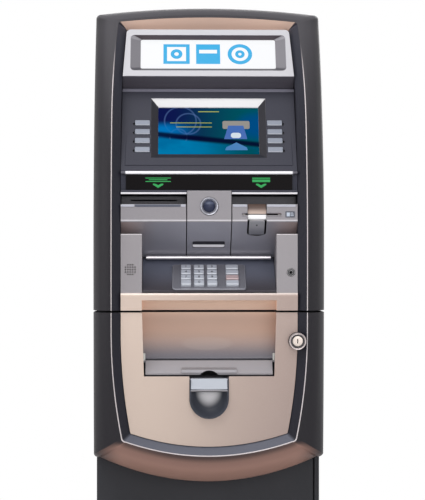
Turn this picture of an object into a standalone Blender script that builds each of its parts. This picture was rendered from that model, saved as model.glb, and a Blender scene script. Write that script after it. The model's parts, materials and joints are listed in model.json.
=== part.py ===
"""A free-standing cash machine: a steel vault, a sheet-metal head and two hinged fascias.

Metres, +Z up, the customer stands on the -Y side. The origin is on the floor,
under the middle of the machine.
"""

import math

import bmesh
import bpy
from mathutils import Matrix, Vector

# Overall sizes. The height is the vault plus what is stacked on it.
WIDTH = 0.404
DEPTH = 0.580
VAULT_HEIGHT = 0.8615

# Gaps between pieces.
FIT = 0.0004
SPLIT_GAP = 0.0035
SHUT_GAP = 0.0015

# Cabinet.
CABINET_INSET = 0.002
VAULT_WALL = 0.008
VAULT_FRONT_SETBACK = 0.120
HEAD_WALL = 0.0025
HEAD_FRONT_SETBACK = 0.185
HEAD_HEIGHT = 0.533
DOOR_THICKNESS = 0.014
JAMB_GAP = 0.0035
JAMB_REACH = 0.0055
DOOR_BACK_CLEARANCE = 0.0045

# Fascia frames: a ridge runs all round, with an outer bevel to the sides and an inner bevel to the panels.
OUTER_BEVEL = 0.032
INNER_BEVEL = 0.016
BEZEL_WALL = 0.004
SIDE_DROP = 0.040
BELLY_DROP = 0.070
INNER_DROP = 0.014
TOP_TAPER = 0.263
BELLY_TAPER = 0.53
TAPER_ABOVE = 0.335
TAPER_BELOW = 0.035
LEAN_START = 0.112
TOP_SETBACK = 0.1325
BELLY_RADIUS = 3.0
HINGE_RADIUS = 0.012

# Levels above the split between the two fascias.
SPLIT = VAULT_HEIGHT + SPLIT_GAP
RECESS_TOP = SPLIT + 0.018
BAND_TOP = SPLIT + 0.028
SHELF_FRONT = SPLIT + 0.031
SHELF_BACK = SHELF_FRONT + 0.056
MODULE_FOOT = SHELF_BACK + 0.005
CHEEK_TOP = SPLIT + 0.133
MODULE_EDGE = SPLIT + 0.155
MODULE_TOP = SPLIT + 0.1845
STRIP_LIP = SPLIT + 0.202
STRIP_BOTTOM = SPLIT + 0.2095
STRIP_TOP = SPLIT + 0.2365
MONITOR_FOOT = SPLIT + 0.247
MONITOR_TOP = MONITOR_FOOT + 0.1465
SIGN_BOTTOM = MONITOR_TOP + 0.0195
SIGN_TOP = SIGN_BOTTOM + 0.089
CREST_CORNER = SIGN_TOP + 0.015
CREST_TOP = SIGN_TOP + 0.024
OUTER_CORNER = CREST_TOP + 0.007
OUTER_TOP = CREST_TOP + 0.019

# Levels below the split.
FLAP_TOP = VAULT_HEIGHT - 0.0825
TRAY_TOP = VAULT_HEIGHT - 0.1115
SCOOP_BOTTOM = TRAY_TOP - 0.0745
PANEL_CORNER = VAULT_HEIGHT - 0.2135
PANEL_BOTTOM = PANEL_CORNER - 0.022
BELLY_CREST_CORNER = PANEL_CORNER - 0.012
BELLY_CREST = PANEL_BOTTOM - 0.015
BELLY_CORNER = VAULT_HEIGHT - 0.2595
BELLY_BOTTOM = BELLY_CREST - 0.053

# Keypad recess, screen and modules.
CHEEK_WIDTH = 0.037
SHELF_DEPTH = 0.086
CENTRE_WIDTH = 0.078
CENTRE_TOP_DEPTH = 0.018
MODULE_SKIN = 0.004
MONITOR_LEAN_DEPTH = 0.079
MONITOR_THICKNESS = 0.010
SCREEN_WIDTH = 0.178
SCREEN_HEIGHT = 0.098
SCREEN_BEVEL = 0.0124
SCREEN_BEVEL_DEPTH = 0.008
SCREEN_CENTRE = 0.083
SIDE_KEY_SIZE = (0.027, 0.011, 0.008)
SIDE_KEY_REACH = 0.1167
SIDE_KEY_FIRST = 0.0382
SIDE_KEY_PITCH = 0.0184
SIDE_KEY_STAND = 0.003
PIN_PLATE_SIZE = (0.129, 0.0786, 0.006)
PIN_PLATE_STAND = 0.003
PIN_KEY_HEIGHT = 0.0125
PIN_KEY_DEPTH = 0.007
PIN_KEY_STAND = 0.0025
PIN_ROW_PITCH = 0.0162
PIN_COLUMNS = ((-0.0402, 0.0175), (-0.0174, 0.0175), (0.0054, 0.0175), (0.0407, 0.0220))
SIGN_SIZE = (0.242, 0.063)
SIGN_RECESS = (0.281, 0.077)
SIGN_RECESS_DEPTH = 0.014
SIGN_PLATE = 0.003
SIGN_LEAN_DEPTH = 0.050
LENS_RADIUS = 0.0158
LENS_LEVEL = SPLIT + 0.181
LIGHT_SIZE = (0.056, 0.017)
CARD_SLOT_X = (0.0575, 0.1248)
CARD_SLOT_HEIGHT = 0.0026
CARD_SLOT_LEVEL = SPLIT + 0.167
NOTCH_X = (0.0665, 0.0997)
NOTCH_FOOT = SPLIT + 0.130
READER_X = (0.052, 0.1303)
RECEIPT_SLIT = 0.082
JACK_RADIUS = 0.0070
JACK_INSET = 0.025
JACK_LEVEL = SPLIT + 0.066
SPEAKER_INSET = 0.020
SPEAKER_LEVEL = SPLIT + 0.071
SPEAKER_HOLE = 0.0012
SPEAKER_PITCH = 0.0042

# Cash recess, lock and door furniture.
CHUTE_DEPTH = 0.053
CHUTE_RADIUS = 0.068
CHUTE_SKIN = 0.003
CHUTE_TAPER = 0.0035
FLAP_THICKNESS = 0.002
FLAP_PIN_RADIUS = 0.002
SCOOP_HALF = 0.0345
LOCK_INSET = 0.017
LOCK_LEVEL = VAULT_HEIGHT - 0.0495
LOCK_RADIUS = 0.015
PLUG_RADIUS = 0.0095
HANDLE_X = -0.080
HANDLE_LEVEL = VAULT_HEIGHT - 0.1715
HANDLE_REACH = 0.090
SPINDLE_RADIUS = 0.008
DIAL_X = 0.070
DIAL_LEVEL = VAULT_HEIGHT - 0.2015
DIAL_RADIUS = 0.032
THROAT_HALF = 0.090
THROAT_LEVELS = (VAULT_HEIGHT - 0.108, VAULT_HEIGHT - 0.088)
BOLT_HALF = 0.012
CHASSIS_CLEARANCE = 0.018
STORE_CLEARANCE = 0.006
BOLT_LEVELS = (0.240, 0.440, 0.620)

FRONT = -DEPTH / 2
BACK = DEPTH / 2
VAULT_FRONT = FRONT + VAULT_FRONT_SETBACK
HEAD_FRONT = FRONT + HEAD_FRONT_SETBACK
DOOR_BACK = VAULT_FRONT + DOOR_THICKNESS
CREST_HALF = WIDTH / 2 - OUTER_BEVEL
LOCK_X = CREST_HALF - LOCK_INSET
CABINET_HALF = WIDTH / 2 - CABINET_INSET
SHELF_HALF = CREST_HALF - INNER_BEVEL - CHEEK_WIDTH
JACK_X = SHELF_HALF + JACK_INSET
SPEAKER_X = -SHELF_HALF - SPEAKER_INSET
CHUTE_FOOT_HALF = SHELF_HALF - CHUTE_TAPER
UPPER_BACK = HEAD_FRONT - SHUT_GAP
LOWER_BACK = VAULT_FRONT - SHUT_GAP
HINGE_X = -WIDTH / 2 + HINGE_RADIUS
UPPER_HINGE_Y = UPPER_BACK - HINGE_RADIUS
LOWER_HINGE_Y = LOWER_BACK - HINGE_RADIUS
DOOR_AXIS = (-WIDTH / 2 + 0.0105, VAULT_FRONT + DOOR_THICKNESS / 2)
MODULE_FACE_Y = FRONT + 0.0135
UNDERCUT_BACK_Y = FRONT + 0.093
SHELF_FRONT_Y = FRONT + 0.007
SHELF_BACK_Y = SHELF_FRONT_Y + SHELF_DEPTH
BAND_Y = FRONT + 0.009
STRIP_Y = FRONT + 0.024
MONITOR_FOOT_Y = FRONT + 0.027
MONITOR_TOP_Y = MONITOR_FOOT_Y + MONITOR_LEAN_DEPTH

UPPER_HINGES = (SPLIT + 0.060, SPLIT + 0.440)
LOWER_HINGES = (VAULT_HEIGHT - 0.040, VAULT_HEIGHT - 0.220)


# --- Materials and basic solids

def paint(name, colour, roughness, metallic):
    """A plain coloured finish."""
    material = bpy.data.materials.get(name) or bpy.data.materials.new(name)
    material.use_nodes = True
    shader = material.node_tree.nodes["Principled BSDF"]
    shader.inputs["Base Color"].default_value = (*colour, 1.0)
    shader.inputs["Roughness"].default_value = roughness
    shader.inputs["Metallic"].default_value = metallic
    return material


def finish(name, bm, look, pivot=(0, 0, 0)):
    """Closes a bmesh into an object whose origin is at its pivot."""
    bmesh.ops.recalc_face_normals(bm, faces=bm.faces)
    bmesh.ops.translate(bm, verts=bm.verts, vec=-Vector(pivot))
    mesh = bpy.data.meshes.new(name)
    bm.to_mesh(mesh)
    bm.free()
    thing = bpy.data.objects.new(name, mesh)
    thing.location = pivot
    thing.data.materials.append(look)
    bpy.context.scene.collection.objects.link(thing)
    return thing


def loft(name, rings, look, pivot=(0, 0, 0)):
    """A solid through rings of equally many points, closed at both ends."""
    bm = bmesh.new()
    rows = [[bm.verts.new(point) for point in ring] for ring in rings]
    for row, following in zip(rows, rows[1:]):
        for i, vert in enumerate(row):
            j = (i + 1) % len(row)
            bm.faces.new((vert, row[j], following[j], following[i]))
    bm.faces.new(rows[0])
    bm.faces.new(rows[-1])
    return finish(name, bm, look, pivot)


def box(name, low, high, look, pivot=(0, 0, 0)):
    """An upright block between two corners."""
    corners = ((0, 0), (1, 0), (1, 1), (0, 1))
    rings = [[((low, high)[i][0], (low, high)[j][1], z) for i, j in corners] for z in (low[2], high[2])]
    return loft(name, rings, look, pivot)


def round_bar(name, start, end, radius, look, sides=24, pivot=(0, 0, 0), end_radius=None):
    """A round bar, or a cone if the end has its own radius."""
    start, end = Vector(start), Vector(end)
    along = (end - start).normalized()
    aside = along.orthogonal().normalized()
    over = along.cross(aside)
    rings = []
    for centre, r in ((start, radius), (end, radius if end_radius is None else end_radius)):
        turns = [2 * math.pi * i / sides for i in range(sides)]
        rings.append([centre + r * (math.cos(t) * aside + math.sin(t) * over) for t in turns])
    return loft(name, rings, look, pivot)


def across(name, profile, reach, look, pivot=(0, 0, 0)):
    """A side profile (y, z) carried across X, to a reach on each side that may change with the level."""
    ends = []
    for side in (-1, 1):
        ends.append([(side * reach(z) if callable(reach) else reach[side > 0], y, z) for y, z in profile])
    return loft(name, ends, look, pivot)


def upright(name, outline, y_front, y_back, look, pivot=(0, 0, 0)):
    """A front outline (x, z) carried back in Y."""
    return loft(name, [[(x, y, z) for x, z in outline] for y in (y_front, y_back)], look, pivot)


def lean_frame(foot, head):
    """A frame on a sloping face: X across, Y up the slope, Z out of the face."""
    up = Vector((0, head[0] - foot[0], head[1] - foot[1])).normalized()
    out = Vector((1, 0, 0)).cross(up)
    frame = Matrix((Vector((1, 0, 0)), up, out)).transposed().to_4x4()
    frame.translation = (0, *foot)
    return frame


def lean_block(name, frame, centre, size, low, high, look, pivot=(0, 0, 0), flare=0.0):
    """A block on a sloping face, from one height above the face to another, wider at the top by its flare."""
    rings = []
    for height, grow in ((low, 0.0), (high, flare)):
        half_u, half_v = size[0] / 2 + grow, size[1] / 2 + grow
        corners = ((-half_u, -half_v), (half_u, -half_v), (half_u, half_v), (-half_u, half_v))
        rings.append([frame @ Vector((centre[0] + u, centre[1] + v, height)) for u, v in corners])
    return loft(name, rings, look, pivot)


def combine(target, operation, others):
    """Cuts the others out of the target, or joins them to it."""
    for other in others:
        other.hide_render = True
        other.display_type = "WIRE"
        change = target.modifiers.new(f"{operation.lower()} {other.name}", "BOOLEAN")
        change.operation = operation
        change.solver = "EXACT"
        change.object = other
    return target


def cut(target, *others):
    return combine(target, "DIFFERENCE", others)


def join(target, *others):
    return combine(target, "UNION", others)


# --- Shape rules of the fascias

def setback(z):
    """How far the ridge lies behind the front plane at a level."""
    above = z - (SPLIT + LEAN_START)
    if above > 0:
        reach = CREST_TOP - (SPLIT + LEAN_START)
        radius = (reach**2 + TOP_SETBACK**2) / (2 * TOP_SETBACK)
        return radius - math.sqrt(radius**2 - above**2)
    return above**2 / (2 * BELLY_RADIUS)


def crest_y(z):
    return FRONT + setback(z)


def crest_half(z):
    above = max(0.0, z - SPLIT - TAPER_ABOVE)
    below = max(0.0, VAULT_HEIGHT - TAPER_BELOW - z)
    return CREST_HALF - TOP_TAPER * above**2 - BELLY_TAPER * below**2


def inner_half(z):
    return crest_half(z) - INNER_BEVEL


def outer_half(z):
    return WIDTH / 2


def panel_half(z):
    return inner_half(z) - FIT


SIDE_STATIONS = 9
CORNER_STATIONS = 4
TOP_STATIONS = 6


def arch(half_width, start, corner, apex, radius):
    """Points (x, z) up one side, round the corner and along to the middle, then the same mirrored."""
    turn = math.copysign(radius, corner - start)
    side_end = corner - turn
    corner_x = half_width(side_end) - radius
    points = []
    for i in range(SIDE_STATIONS):
        z = start + (side_end - start) * i / SIDE_STATIONS
        points.append((-half_width(z), z))
    for i in range(CORNER_STATIONS):
        angle = 0.5 * math.pi * i / CORNER_STATIONS
        points.append((-corner_x - radius * math.cos(angle), side_end + turn * math.sin(angle)))
    for i in range(TOP_STATIONS):
        x = corner_x * (1 - i / TOP_STATIONS)
        points.append((-x, corner + (apex - corner) * (1 - (x / corner_x) ** 2)))
    return points + [(0.0, apex)] + [(-x, z) for x, z in reversed(points)]


def bezel_ring(outer, crest, inner, drop, back):
    """One cross-section of a fascia frame: outer wall, outer bevel, ridge, inner bevel and inner wall."""
    ridge = crest_y(crest[1])
    width = math.dist(outer, crest)
    wall = BEZEL_WALL / width
    section = (
        (0.0, back),
        (0.0, ridge + drop),
        (0.12, ridge + 0.65 * drop),
        (0.40, ridge + 0.27 * drop),
        (0.75, ridge + 0.07 * drop),
        (1.0, ridge),
        (2.0, ridge + INNER_DROP),
        (2.0, ridge + INNER_DROP + 5 * BEZEL_WALL),
        (1.75, ridge + INNER_DROP + 5 * BEZEL_WALL),
        (1.75, ridge + INNER_DROP + 0.5 * BEZEL_WALL),
        (1.02, ridge + 1.4 * BEZEL_WALL),
        (0.75, ridge + 0.07 * drop + 1.4 * BEZEL_WALL),
        (0.42, ridge + 0.27 * drop + 1.5 * BEZEL_WALL),
        (wall, ridge + drop + 0.3 * BEZEL_WALL),
        (wall, back),
    )
    ring = []
    for blend, y in section:
        near, far, share = (outer, crest, blend) if blend <= 1 else (crest, inner, blend - 1)
        x, z = (a + (b - a) * share for a, b in zip(near, far))
        ring.append((x, y, z))
    return ring


def bezel(name, contours, drops, back, look):
    rings = [bezel_ring(*points, drop, back) for *points, drop in zip(*contours, drops)]
    return loft(name, rings, look)


def hinge_relief(name, axis_y, back, low, high, look):
    """The sharp rear-left corner outside the hinge circle."""
    steps = 6
    arc = []
    for i in range(steps + 1):
        angle = math.pi - 0.5 * math.pi * i / steps
        arc.append((HINGE_X + HINGE_RADIUS * math.cos(angle), axis_y + HINGE_RADIUS * math.sin(angle)))
    margin = 0.003
    outline = arc + [(HINGE_X, back + margin), (HINGE_X - HINGE_RADIUS - margin, back + margin)]
    outline.append((HINGE_X - HINGE_RADIUS - margin, axis_y))
    return loft(name, [[(x, y, z) for x, y in outline] for z in (low, high)], look)


HINGE_PIN = 0.003
HINGE_LEAF = 0.004


def hinge_tab(name, axis_y, root_y, level, look):
    """A cabinet-side leaf with a pin that stands up from it."""
    reach = HINGE_PIN + 0.003
    leaf = box(name, (HINGE_X - reach, axis_y - reach, level),
               (HINGE_X + reach, root_y, level + HINGE_LEAF), look)
    pin = round_bar(f"{name}_pin", (HINGE_X, axis_y, level + HINGE_LEAF / 2),
                    (HINGE_X, axis_y, level + 3.5 * HINGE_LEAF), HINGE_PIN, look, 16)
    return leaf, pin


def hinge_lug(name, axis_y, level, look):
    """A fascia-side eye that drops over the pin, and its arm to the side wall."""
    low = level + HINGE_LEAF + FIT
    high = low + 1.5 * HINGE_LEAF
    eye = round_bar(name, (HINGE_X, axis_y, low), (HINGE_X, axis_y, high), HINGE_PIN + 0.0035, look, 20)
    arm = box(f"{name}_arm", (-WIDTH / 2 + BEZEL_WALL / 2, axis_y - 0.014, low),
              (HINGE_X, axis_y - 0.0035, high), look)
    hole = round_bar(f"{name}_hole", (HINGE_X, axis_y, low - 0.001), (HINGE_X, axis_y, high + 0.001),
                     HINGE_PIN + FIT, look, 16)
    notch = box(f"{name}_notch", (-WIDTH / 2 - 0.001, axis_y - 0.0078, level - 0.002),
                (HINGE_X, axis_y + HINGE_RADIUS + 0.003, low - FIT), look)
    return eye, arm, hole, notch


# --- Cabinet

def vault_cabinet(look):
    """A safe box of thick plate: open in front, a jamb lip at the right, pivot pins at the left."""
    half = CABINET_HALF
    front = VAULT_FRONT
    cabinet = box("vault_cabinet", (-half, front, 0), (half, BACK, VAULT_HEIGHT), look)
    inside = box("vault_inside", (-half + VAULT_WALL, front - 0.01, VAULT_WALL + 0.002),
                 (half - VAULT_WALL, BACK - VAULT_WALL, VAULT_HEIGHT - VAULT_WALL / 2), look)
    left_end = box("vault_left_end", (-half - 0.01, front - 0.01, VAULT_WALL + 0.002),
                   (-half + VAULT_WALL + 0.002, front + DOOR_THICKNESS + DOOR_BACK_CLEARANCE,
                    VAULT_HEIGHT - VAULT_WALL / 2), look)
    cable_way = box("vault_cable_way", (0.12, 0.20, VAULT_HEIGHT - 0.02), (0.16, 0.24, VAULT_HEIGHT + 0.02),
                    look)
    cut(cabinet, inside, left_end, cable_way)
    for x in (-0.14, 0.14):
        for y in (-0.10, 0.22):
            cut(cabinet, round_bar(f"anchor_{x}_{y}", (x, y, -0.01), (x, y, 0.03), 0.008, look, 12))
    jamb_front = front + DOOR_THICKNESS + 0.0005
    jamb = box("vault_jamb", (half - VAULT_WALL - JAMB_REACH, jamb_front, VAULT_WALL),
               (half - VAULT_WALL + 0.001, jamb_front + 0.005, VAULT_HEIGHT - VAULT_WALL / 4), look)
    join(cabinet, jamb)
    for label, low, high in (("foot", 0.004, 0.020), ("head", VAULT_HEIGHT - 0.012, VAULT_HEIGHT - 0.002)):
        join(cabinet, round_bar(f"pivot_{label}", (*DOOR_AXIS, low), (*DOOR_AXIS, high), 0.0035, look, 16))
    return cabinet


def head_cabinet(look):
    """A folded sheet hood with an open front, a floor and two hinge tabs."""
    half = CABINET_HALF
    low = VAULT_HEIGHT + 0.0003
    top = low + HEAD_HEIGHT
    hood = box("head_cabinet", (-half, HEAD_FRONT, low), (half, BACK, top), look)
    inside = box("head_inside", (-half + HEAD_WALL, HEAD_FRONT - 0.01, low + HEAD_WALL),
                 (half - HEAD_WALL, BACK - HEAD_WALL, top - HEAD_WALL), look)
    inlet = box("inlet_hole", (-0.148, BACK - 0.02, low + 0.060), (-0.112, BACK + 0.02, low + 0.092), look)
    cable_way = box("head_cable_way", (0.12, 0.20, low - 0.01), (0.16, 0.24, low + 0.01), look)
    cut(hood, inside, inlet, cable_way)
    for i in range(7):
        level = low + 0.40 + 0.012 * i
        cut(hood, box(f"vent_{i}", (-0.06, BACK - 0.02, level), (0.06, BACK + 0.02, level + 0.0035), look))
    for i, level in enumerate(UPPER_HINGES):
        brace = box(f"upper_brace_{i}", (-half + HEAD_WALL / 2, HEAD_FRONT + 0.001, level),
                    (HINGE_X + 0.006, HEAD_FRONT + 0.020, level + HINGE_LEAF), look)
        join(hood, brace, *hinge_tab(f"upper_tab_{i}", UPPER_HINGE_Y, HEAD_FRONT + 0.010, level, look))
    return hood


def power_inlet(look):
    """A snap-in mains inlet, flush with the back of the head."""
    low = VAULT_HEIGHT + 0.0003 + 0.060
    inlet = box("power_inlet", (-0.148 + FIT, BACK - 0.030, low + FIT),
                (-0.112 - FIT, BACK - 0.0005, low + 0.032 - FIT),
                look)
    well = box("inlet_well", (-0.142, BACK - 0.018, low + 0.007), (-0.118, BACK + 0.01, low + 0.025), look)
    return cut(inlet, well)


def receipt_printer(look):
    """A thermal printer on a sheet stand, with the paper roll's spindle across its back."""
    floor = VAULT_HEIGHT + HEAD_WALL + 0.0008
    body = box("receipt_printer", (-0.150, -0.098, floor + 0.100), (-0.050, -0.020, floor + 0.180), look)
    for i, x in enumerate((-0.150, -0.053)):
        side = box(f"printer_side_{i}", (x, -0.060, floor), (x + 0.003, 0.100, floor + 0.150), look)
        join(body, side)
    slit = box("printer_slit", (-0.140, -0.110, floor + 0.172), (-0.060, -0.080, floor + 0.176), look)
    foot = box("printer_foot", (-0.150, -0.060, floor), (-0.050, 0.100, floor + 0.003), look)
    spindle = round_bar("printer_spindle", (-0.149, *ROLL_CENTRE), (-0.051, *ROLL_CENTRE), 0.006, look, 16)
    join(body, foot, spindle)
    return cut(body, slit)


ROLL_CENTRE = (0.050, VAULT_HEIGHT + 0.080)


def paper_roll(look):
    """A roll of receipt paper on its core."""
    roll = round_bar("paper_roll", (-0.1405, *ROLL_CENTRE), (-0.0595, *ROLL_CENTRE), 0.036, look, 32,
                     (-0.100, *ROLL_CENTRE))
    return cut(roll, round_bar("roll_core", (-0.160, *ROLL_CENTRE), (-0.040, *ROLL_CENTRE), 0.0066, look,
                               16))


def control_unit(look):
    """The main board, disk and power supply in a box on the floor of the head."""
    floor = VAULT_HEIGHT + HEAD_WALL + 0.0008
    unit = box("control_unit", (-0.030, -0.040, floor), (0.105, 0.190, floor + 0.160), look)
    for i in range(6):
        x = -0.015 + 0.018 * i
        unit = cut(unit, box(f"unit_vent_{i}", (x, -0.050, floor + 0.05), (x + 0.006, -0.030, floor + 0.12),
                             look))
    return unit


def dispenser_module(look):
    """The note dispenser: a chassis on the vault floor with a cassette bay below and a presenter above."""
    floor = VAULT_WALL + 0.002 + FIT
    top = THROAT_LEVELS[1] + 0.018
    chassis = box("dispenser_module", (-0.112, DOOR_BACK + CHASSIS_CLEARANCE, floor), (0.112, 0.200, top), look)
    bay = box("cassette_bay", (-0.100, DOOR_BACK + STORE_CLEARANCE, 0.300), (0.100, 0.160, 0.560), look)
    store = box("dispenser_store", (-0.100, DOOR_BACK + STORE_CLEARANCE, floor + 0.015), (0.100, 0.160, 0.280), look)
    path = box("presenter_path", (-0.085, DOOR_BACK + STORE_CLEARANCE, THROAT_LEVELS[0] + 0.003),
               (0.085, 0.060, THROAT_LEVELS[1] - 0.003), look)
    rear = box("dispenser_rear", (-0.085, 0.080, 0.590), (0.085, 0.210, top - 0.030), look)
    return cut(chassis, bay, store, path, rear)


def cash_cassette(look):
    """A locked note cassette with a finger well in its front."""
    face = DOOR_BACK + CHASSIS_CLEARANCE + 0.001
    cassette = box("cash_cassette", (-0.0995, face, 0.3004), (0.0995, 0.150, 0.545), look)
    well = box("cassette_well", (-0.050, face - 0.013, 0.470), (0.050, face + 0.027, 0.510), look)
    return cut(cassette, well)


# --- Upper fascia

def upper_bezel(look):
    contours = (
        arch(outer_half, SPLIT, OUTER_CORNER, OUTER_TOP, 0.009),
        arch(crest_half, SPLIT, CREST_CORNER, CREST_TOP, 0.007),
        arch(inner_half, SPLIT, SIGN_TOP + FIT, SIGN_TOP + FIT, 0.001),
    )
    drops = [min(SIDE_DROP, 0.6 * (UPPER_BACK - crest_y(crest[1]))) for crest in contours[1]]
    frame = bezel("upper_bezel", contours, drops, UPPER_BACK, look)
    for i, level in enumerate(UPPER_HINGES):
        eye, arm, hole, notch = hinge_lug(f"upper_lug_{i}", UPPER_HINGE_Y, level, look)
        join(cut(frame, notch), arm, eye)
        cut(frame, hole)
    return cut(frame, hinge_relief("upper_relief", UPPER_HINGE_Y, UPPER_BACK, SPLIT - 0.01,
                                   OUTER_TOP + 0.01, look))


def sign_frame():
    face = crest_y(SIGN_BOTTOM) + 0.008
    return lean_frame((face, SIGN_BOTTOM), (face + SIGN_LEAN_DEPTH, SIGN_TOP))


def sign_housing(look):
    """The lamp box of the sign: a deep moulding with a bevelled recess for the lit panel."""
    face = crest_y(SIGN_BOTTOM) + 0.008
    rear = face + SIGN_LEAN_DEPTH + 0.040
    profile = (
        (face, SIGN_BOTTOM),
        (face + SIGN_LEAN_DEPTH, SIGN_TOP),
        (rear, SIGN_TOP),
        (rear, SIGN_BOTTOM + 0.010),
        (MONITOR_TOP_Y + 0.012, MONITOR_TOP + FIT),
        (MONITOR_TOP_Y, MONITOR_TOP + FIT),
    )
    housing = across("sign_housing", profile, panel_half, look)
    frame = sign_frame()
    length = math.hypot(SIGN_LEAN_DEPTH, SIGN_TOP - SIGN_BOTTOM)
    centre = (0, length / 2)
    recess = lean_block("sign_recess", frame, centre, SIGN_SIZE, -SIGN_RECESS_DEPTH, 0.0, look,
                        flare=(SIGN_RECESS[1] - SIGN_SIZE[1]) / 2)
    wide = (SIGN_RECESS[0], SIGN_RECESS[1])
    shoulder = lean_block("sign_shoulder", frame, centre, wide, -0.001, 0.01, look)
    seat = lean_block("sign_seat", frame, centre, SIGN_SIZE, -SIGN_RECESS_DEPTH - 0.006,
                      -SIGN_RECESS_DEPTH + 0.001, look)
    lamp = box("sign_lamp_room", (-0.100, face + SIGN_LEAN_DEPTH + 0.010, SIGN_BOTTOM + 0.020),
               (0.100, rear + 0.01, SIGN_TOP - 0.008), look)
    return cut(housing, shoulder, recess, seat, lamp)


def sign_panel(look):
    """The translucent panel at the bottom of the recess."""
    length = math.hypot(SIGN_LEAN_DEPTH, SIGN_TOP - SIGN_BOTTOM)
    size = (SIGN_SIZE[0] - 2 * FIT, SIGN_SIZE[1] - 2 * FIT)
    low = -SIGN_RECESS_DEPTH - 0.006 + FIT
    return lean_block("sign_panel", sign_frame(), (0, length / 2), size, low, low + SIGN_PLATE, look)


def monitor_frame():
    return lean_frame((MONITOR_FOOT_Y, MONITOR_FOOT), (MONITOR_TOP_Y, MONITOR_TOP))


def monitor_panel(look):
    """The sloping screen surround, with the round lip and the carrier of the label strip under it."""
    rear = MONITOR_THICKNESS
    frame = monitor_frame()
    slope = math.hypot(MONITOR_LEAN_DEPTH, MONITOR_TOP - MONITOR_FOOT)
    rear_foot = frame @ Vector((0, 0.004, -rear))
    rear_head = frame @ Vector((0, slope, -rear))
    profile = (
        (MONITOR_TOP_Y, MONITOR_TOP),
        (MONITOR_FOOT_Y, MONITOR_FOOT),
        (STRIP_Y - 0.0025, MONITOR_FOOT - 0.0025),
        (STRIP_Y - 0.005, MONITOR_FOOT - 0.0065),
        (STRIP_Y - 0.0035, STRIP_TOP + FIT),
        (STRIP_Y, STRIP_TOP),
        (STRIP_Y, STRIP_BOTTOM),
        (STRIP_Y - 0.004, STRIP_BOTTOM - 0.0005),
        (STRIP_Y - 0.007, STRIP_LIP + 0.0015),
        (STRIP_Y - 0.006, STRIP_LIP),
        (STRIP_Y + 0.030, STRIP_LIP - 0.001),
        (STRIP_Y + 0.030, STRIP_LIP + 0.004),
        (STRIP_Y + rear, STRIP_LIP + 0.008),
        (STRIP_Y + rear, STRIP_TOP),
        tuple(rear_foot.yz),
        tuple(rear_head.yz),
    )
    panel = across("monitor_panel", profile, panel_half, look)
    centre = (0, SCREEN_CENTRE)
    size = (SCREEN_WIDTH, SCREEN_HEIGHT)
    mouth = lean_block("screen_mouth", frame, centre, size, -SCREEN_BEVEL_DEPTH, 0.0, look,
                       flare=SCREEN_BEVEL)
    wide = (SCREEN_WIDTH + 2 * SCREEN_BEVEL, SCREEN_HEIGHT + 2 * SCREEN_BEVEL)
    clear = lean_block("screen_clear", frame, centre, wide, -0.0001, 0.02, look)
    window = lean_block("screen_window", frame, centre, size, -0.03, -SCREEN_BEVEL_DEPTH + 0.001, look)
    cut(panel, mouth, clear, window)
    for side, row, x, v in side_key_places():
        size = (SIDE_KEY_SIZE[0] + 2 * FIT, SIDE_KEY_SIZE[1] + 2 * FIT)
        cut(panel, lean_block(f"key_hole_{side}_{row}", frame, (x, v), size, -0.02, 0.01, look))
    bridge = box("strip_bridge_room", (-CENTRE_WIDTH / 2 - FIT, FRONT, STRIP_LIP - 0.01),
                 (CENTRE_WIDTH / 2 + FIT, MODULE_FACE_Y + CENTRE_TOP_DEPTH + FIT, STRIP_BOTTOM - 0.001),
                 look)
    return cut(panel, bridge)


def side_key_places():
    for side, x in (("left", -SIDE_KEY_REACH), ("right", SIDE_KEY_REACH)):
        for row in range(4):
            yield side, 4 - row, x, SIDE_KEY_FIRST + row * SIDE_KEY_PITCH


def side_keys(look):
    frame = monitor_frame()
    for side, row, x, v in side_key_places():
        low = SIDE_KEY_STAND - SIDE_KEY_SIZE[2]
        pivot = frame @ Vector((x, v, 0))
        key = lean_block(f"side_key_{side}_{row}", frame, (x, v), SIDE_KEY_SIZE[:2], low, SIDE_KEY_STAND,
                         look, pivot)
        round_edges(key, 0.0012)


def round_edges(thing, width):
    bevel = thing.modifiers.new("rounded edges", "BEVEL")
    bevel.width = width
    bevel.segments = 1


def lcd_display(look):
    """The display module behind the window."""
    size = (SCREEN_WIDTH + 0.016, SCREEN_HEIGHT + 0.016)
    high = -MONITOR_THICKNESS - FIT
    return lean_block("lcd_display", monitor_frame(), (0, SCREEN_CENTRE), size, high - 0.012, high, look)


def label_strip(look):
    """The gloss strip over the receipt and card modules."""
    high = STRIP_TOP - FIT
    low = STRIP_BOTTOM + FIT
    return box("label_strip", (-0.1448, STRIP_Y - 0.0032, low), (0.1448, STRIP_Y - FIT, high), look)


def module_profile(top):
    """Front face, edge and undercut of the modules under the strip, as a folded skin."""
    face = MODULE_FACE_Y
    edge = MODULE_EDGE
    foot = (UNDERCUT_BACK_Y, MODULE_FOOT)
    return [
        (face, top),
        (face - 0.0005, edge + 0.0008),
        (face + 0.0025, edge - 0.0025),
        foot,
        (foot[0] + 0.0025, foot[1] + 0.0045),
        (face + MODULE_SKIN, edge + 0.0005),
        (face + MODULE_SKIN, top - MODULE_SKIN),
    ]


MODULE_SHELF_BACK = 0.0405


def module_skin(name, x_low, x_high, look):
    """A side module: face, undercut, top shelf and an upstand at the back of the shelf."""
    top = MODULE_TOP
    back = MODULE_FACE_Y + MODULE_SHELF_BACK
    profile = module_profile(top) + [
        (back, top - MODULE_SKIN),
        (back, STRIP_LIP - 0.003),
        (back - 0.003, STRIP_LIP - 0.003),
        (back - 0.003, top),
    ]
    return across(name, profile, (x_low, x_high), look)


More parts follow.
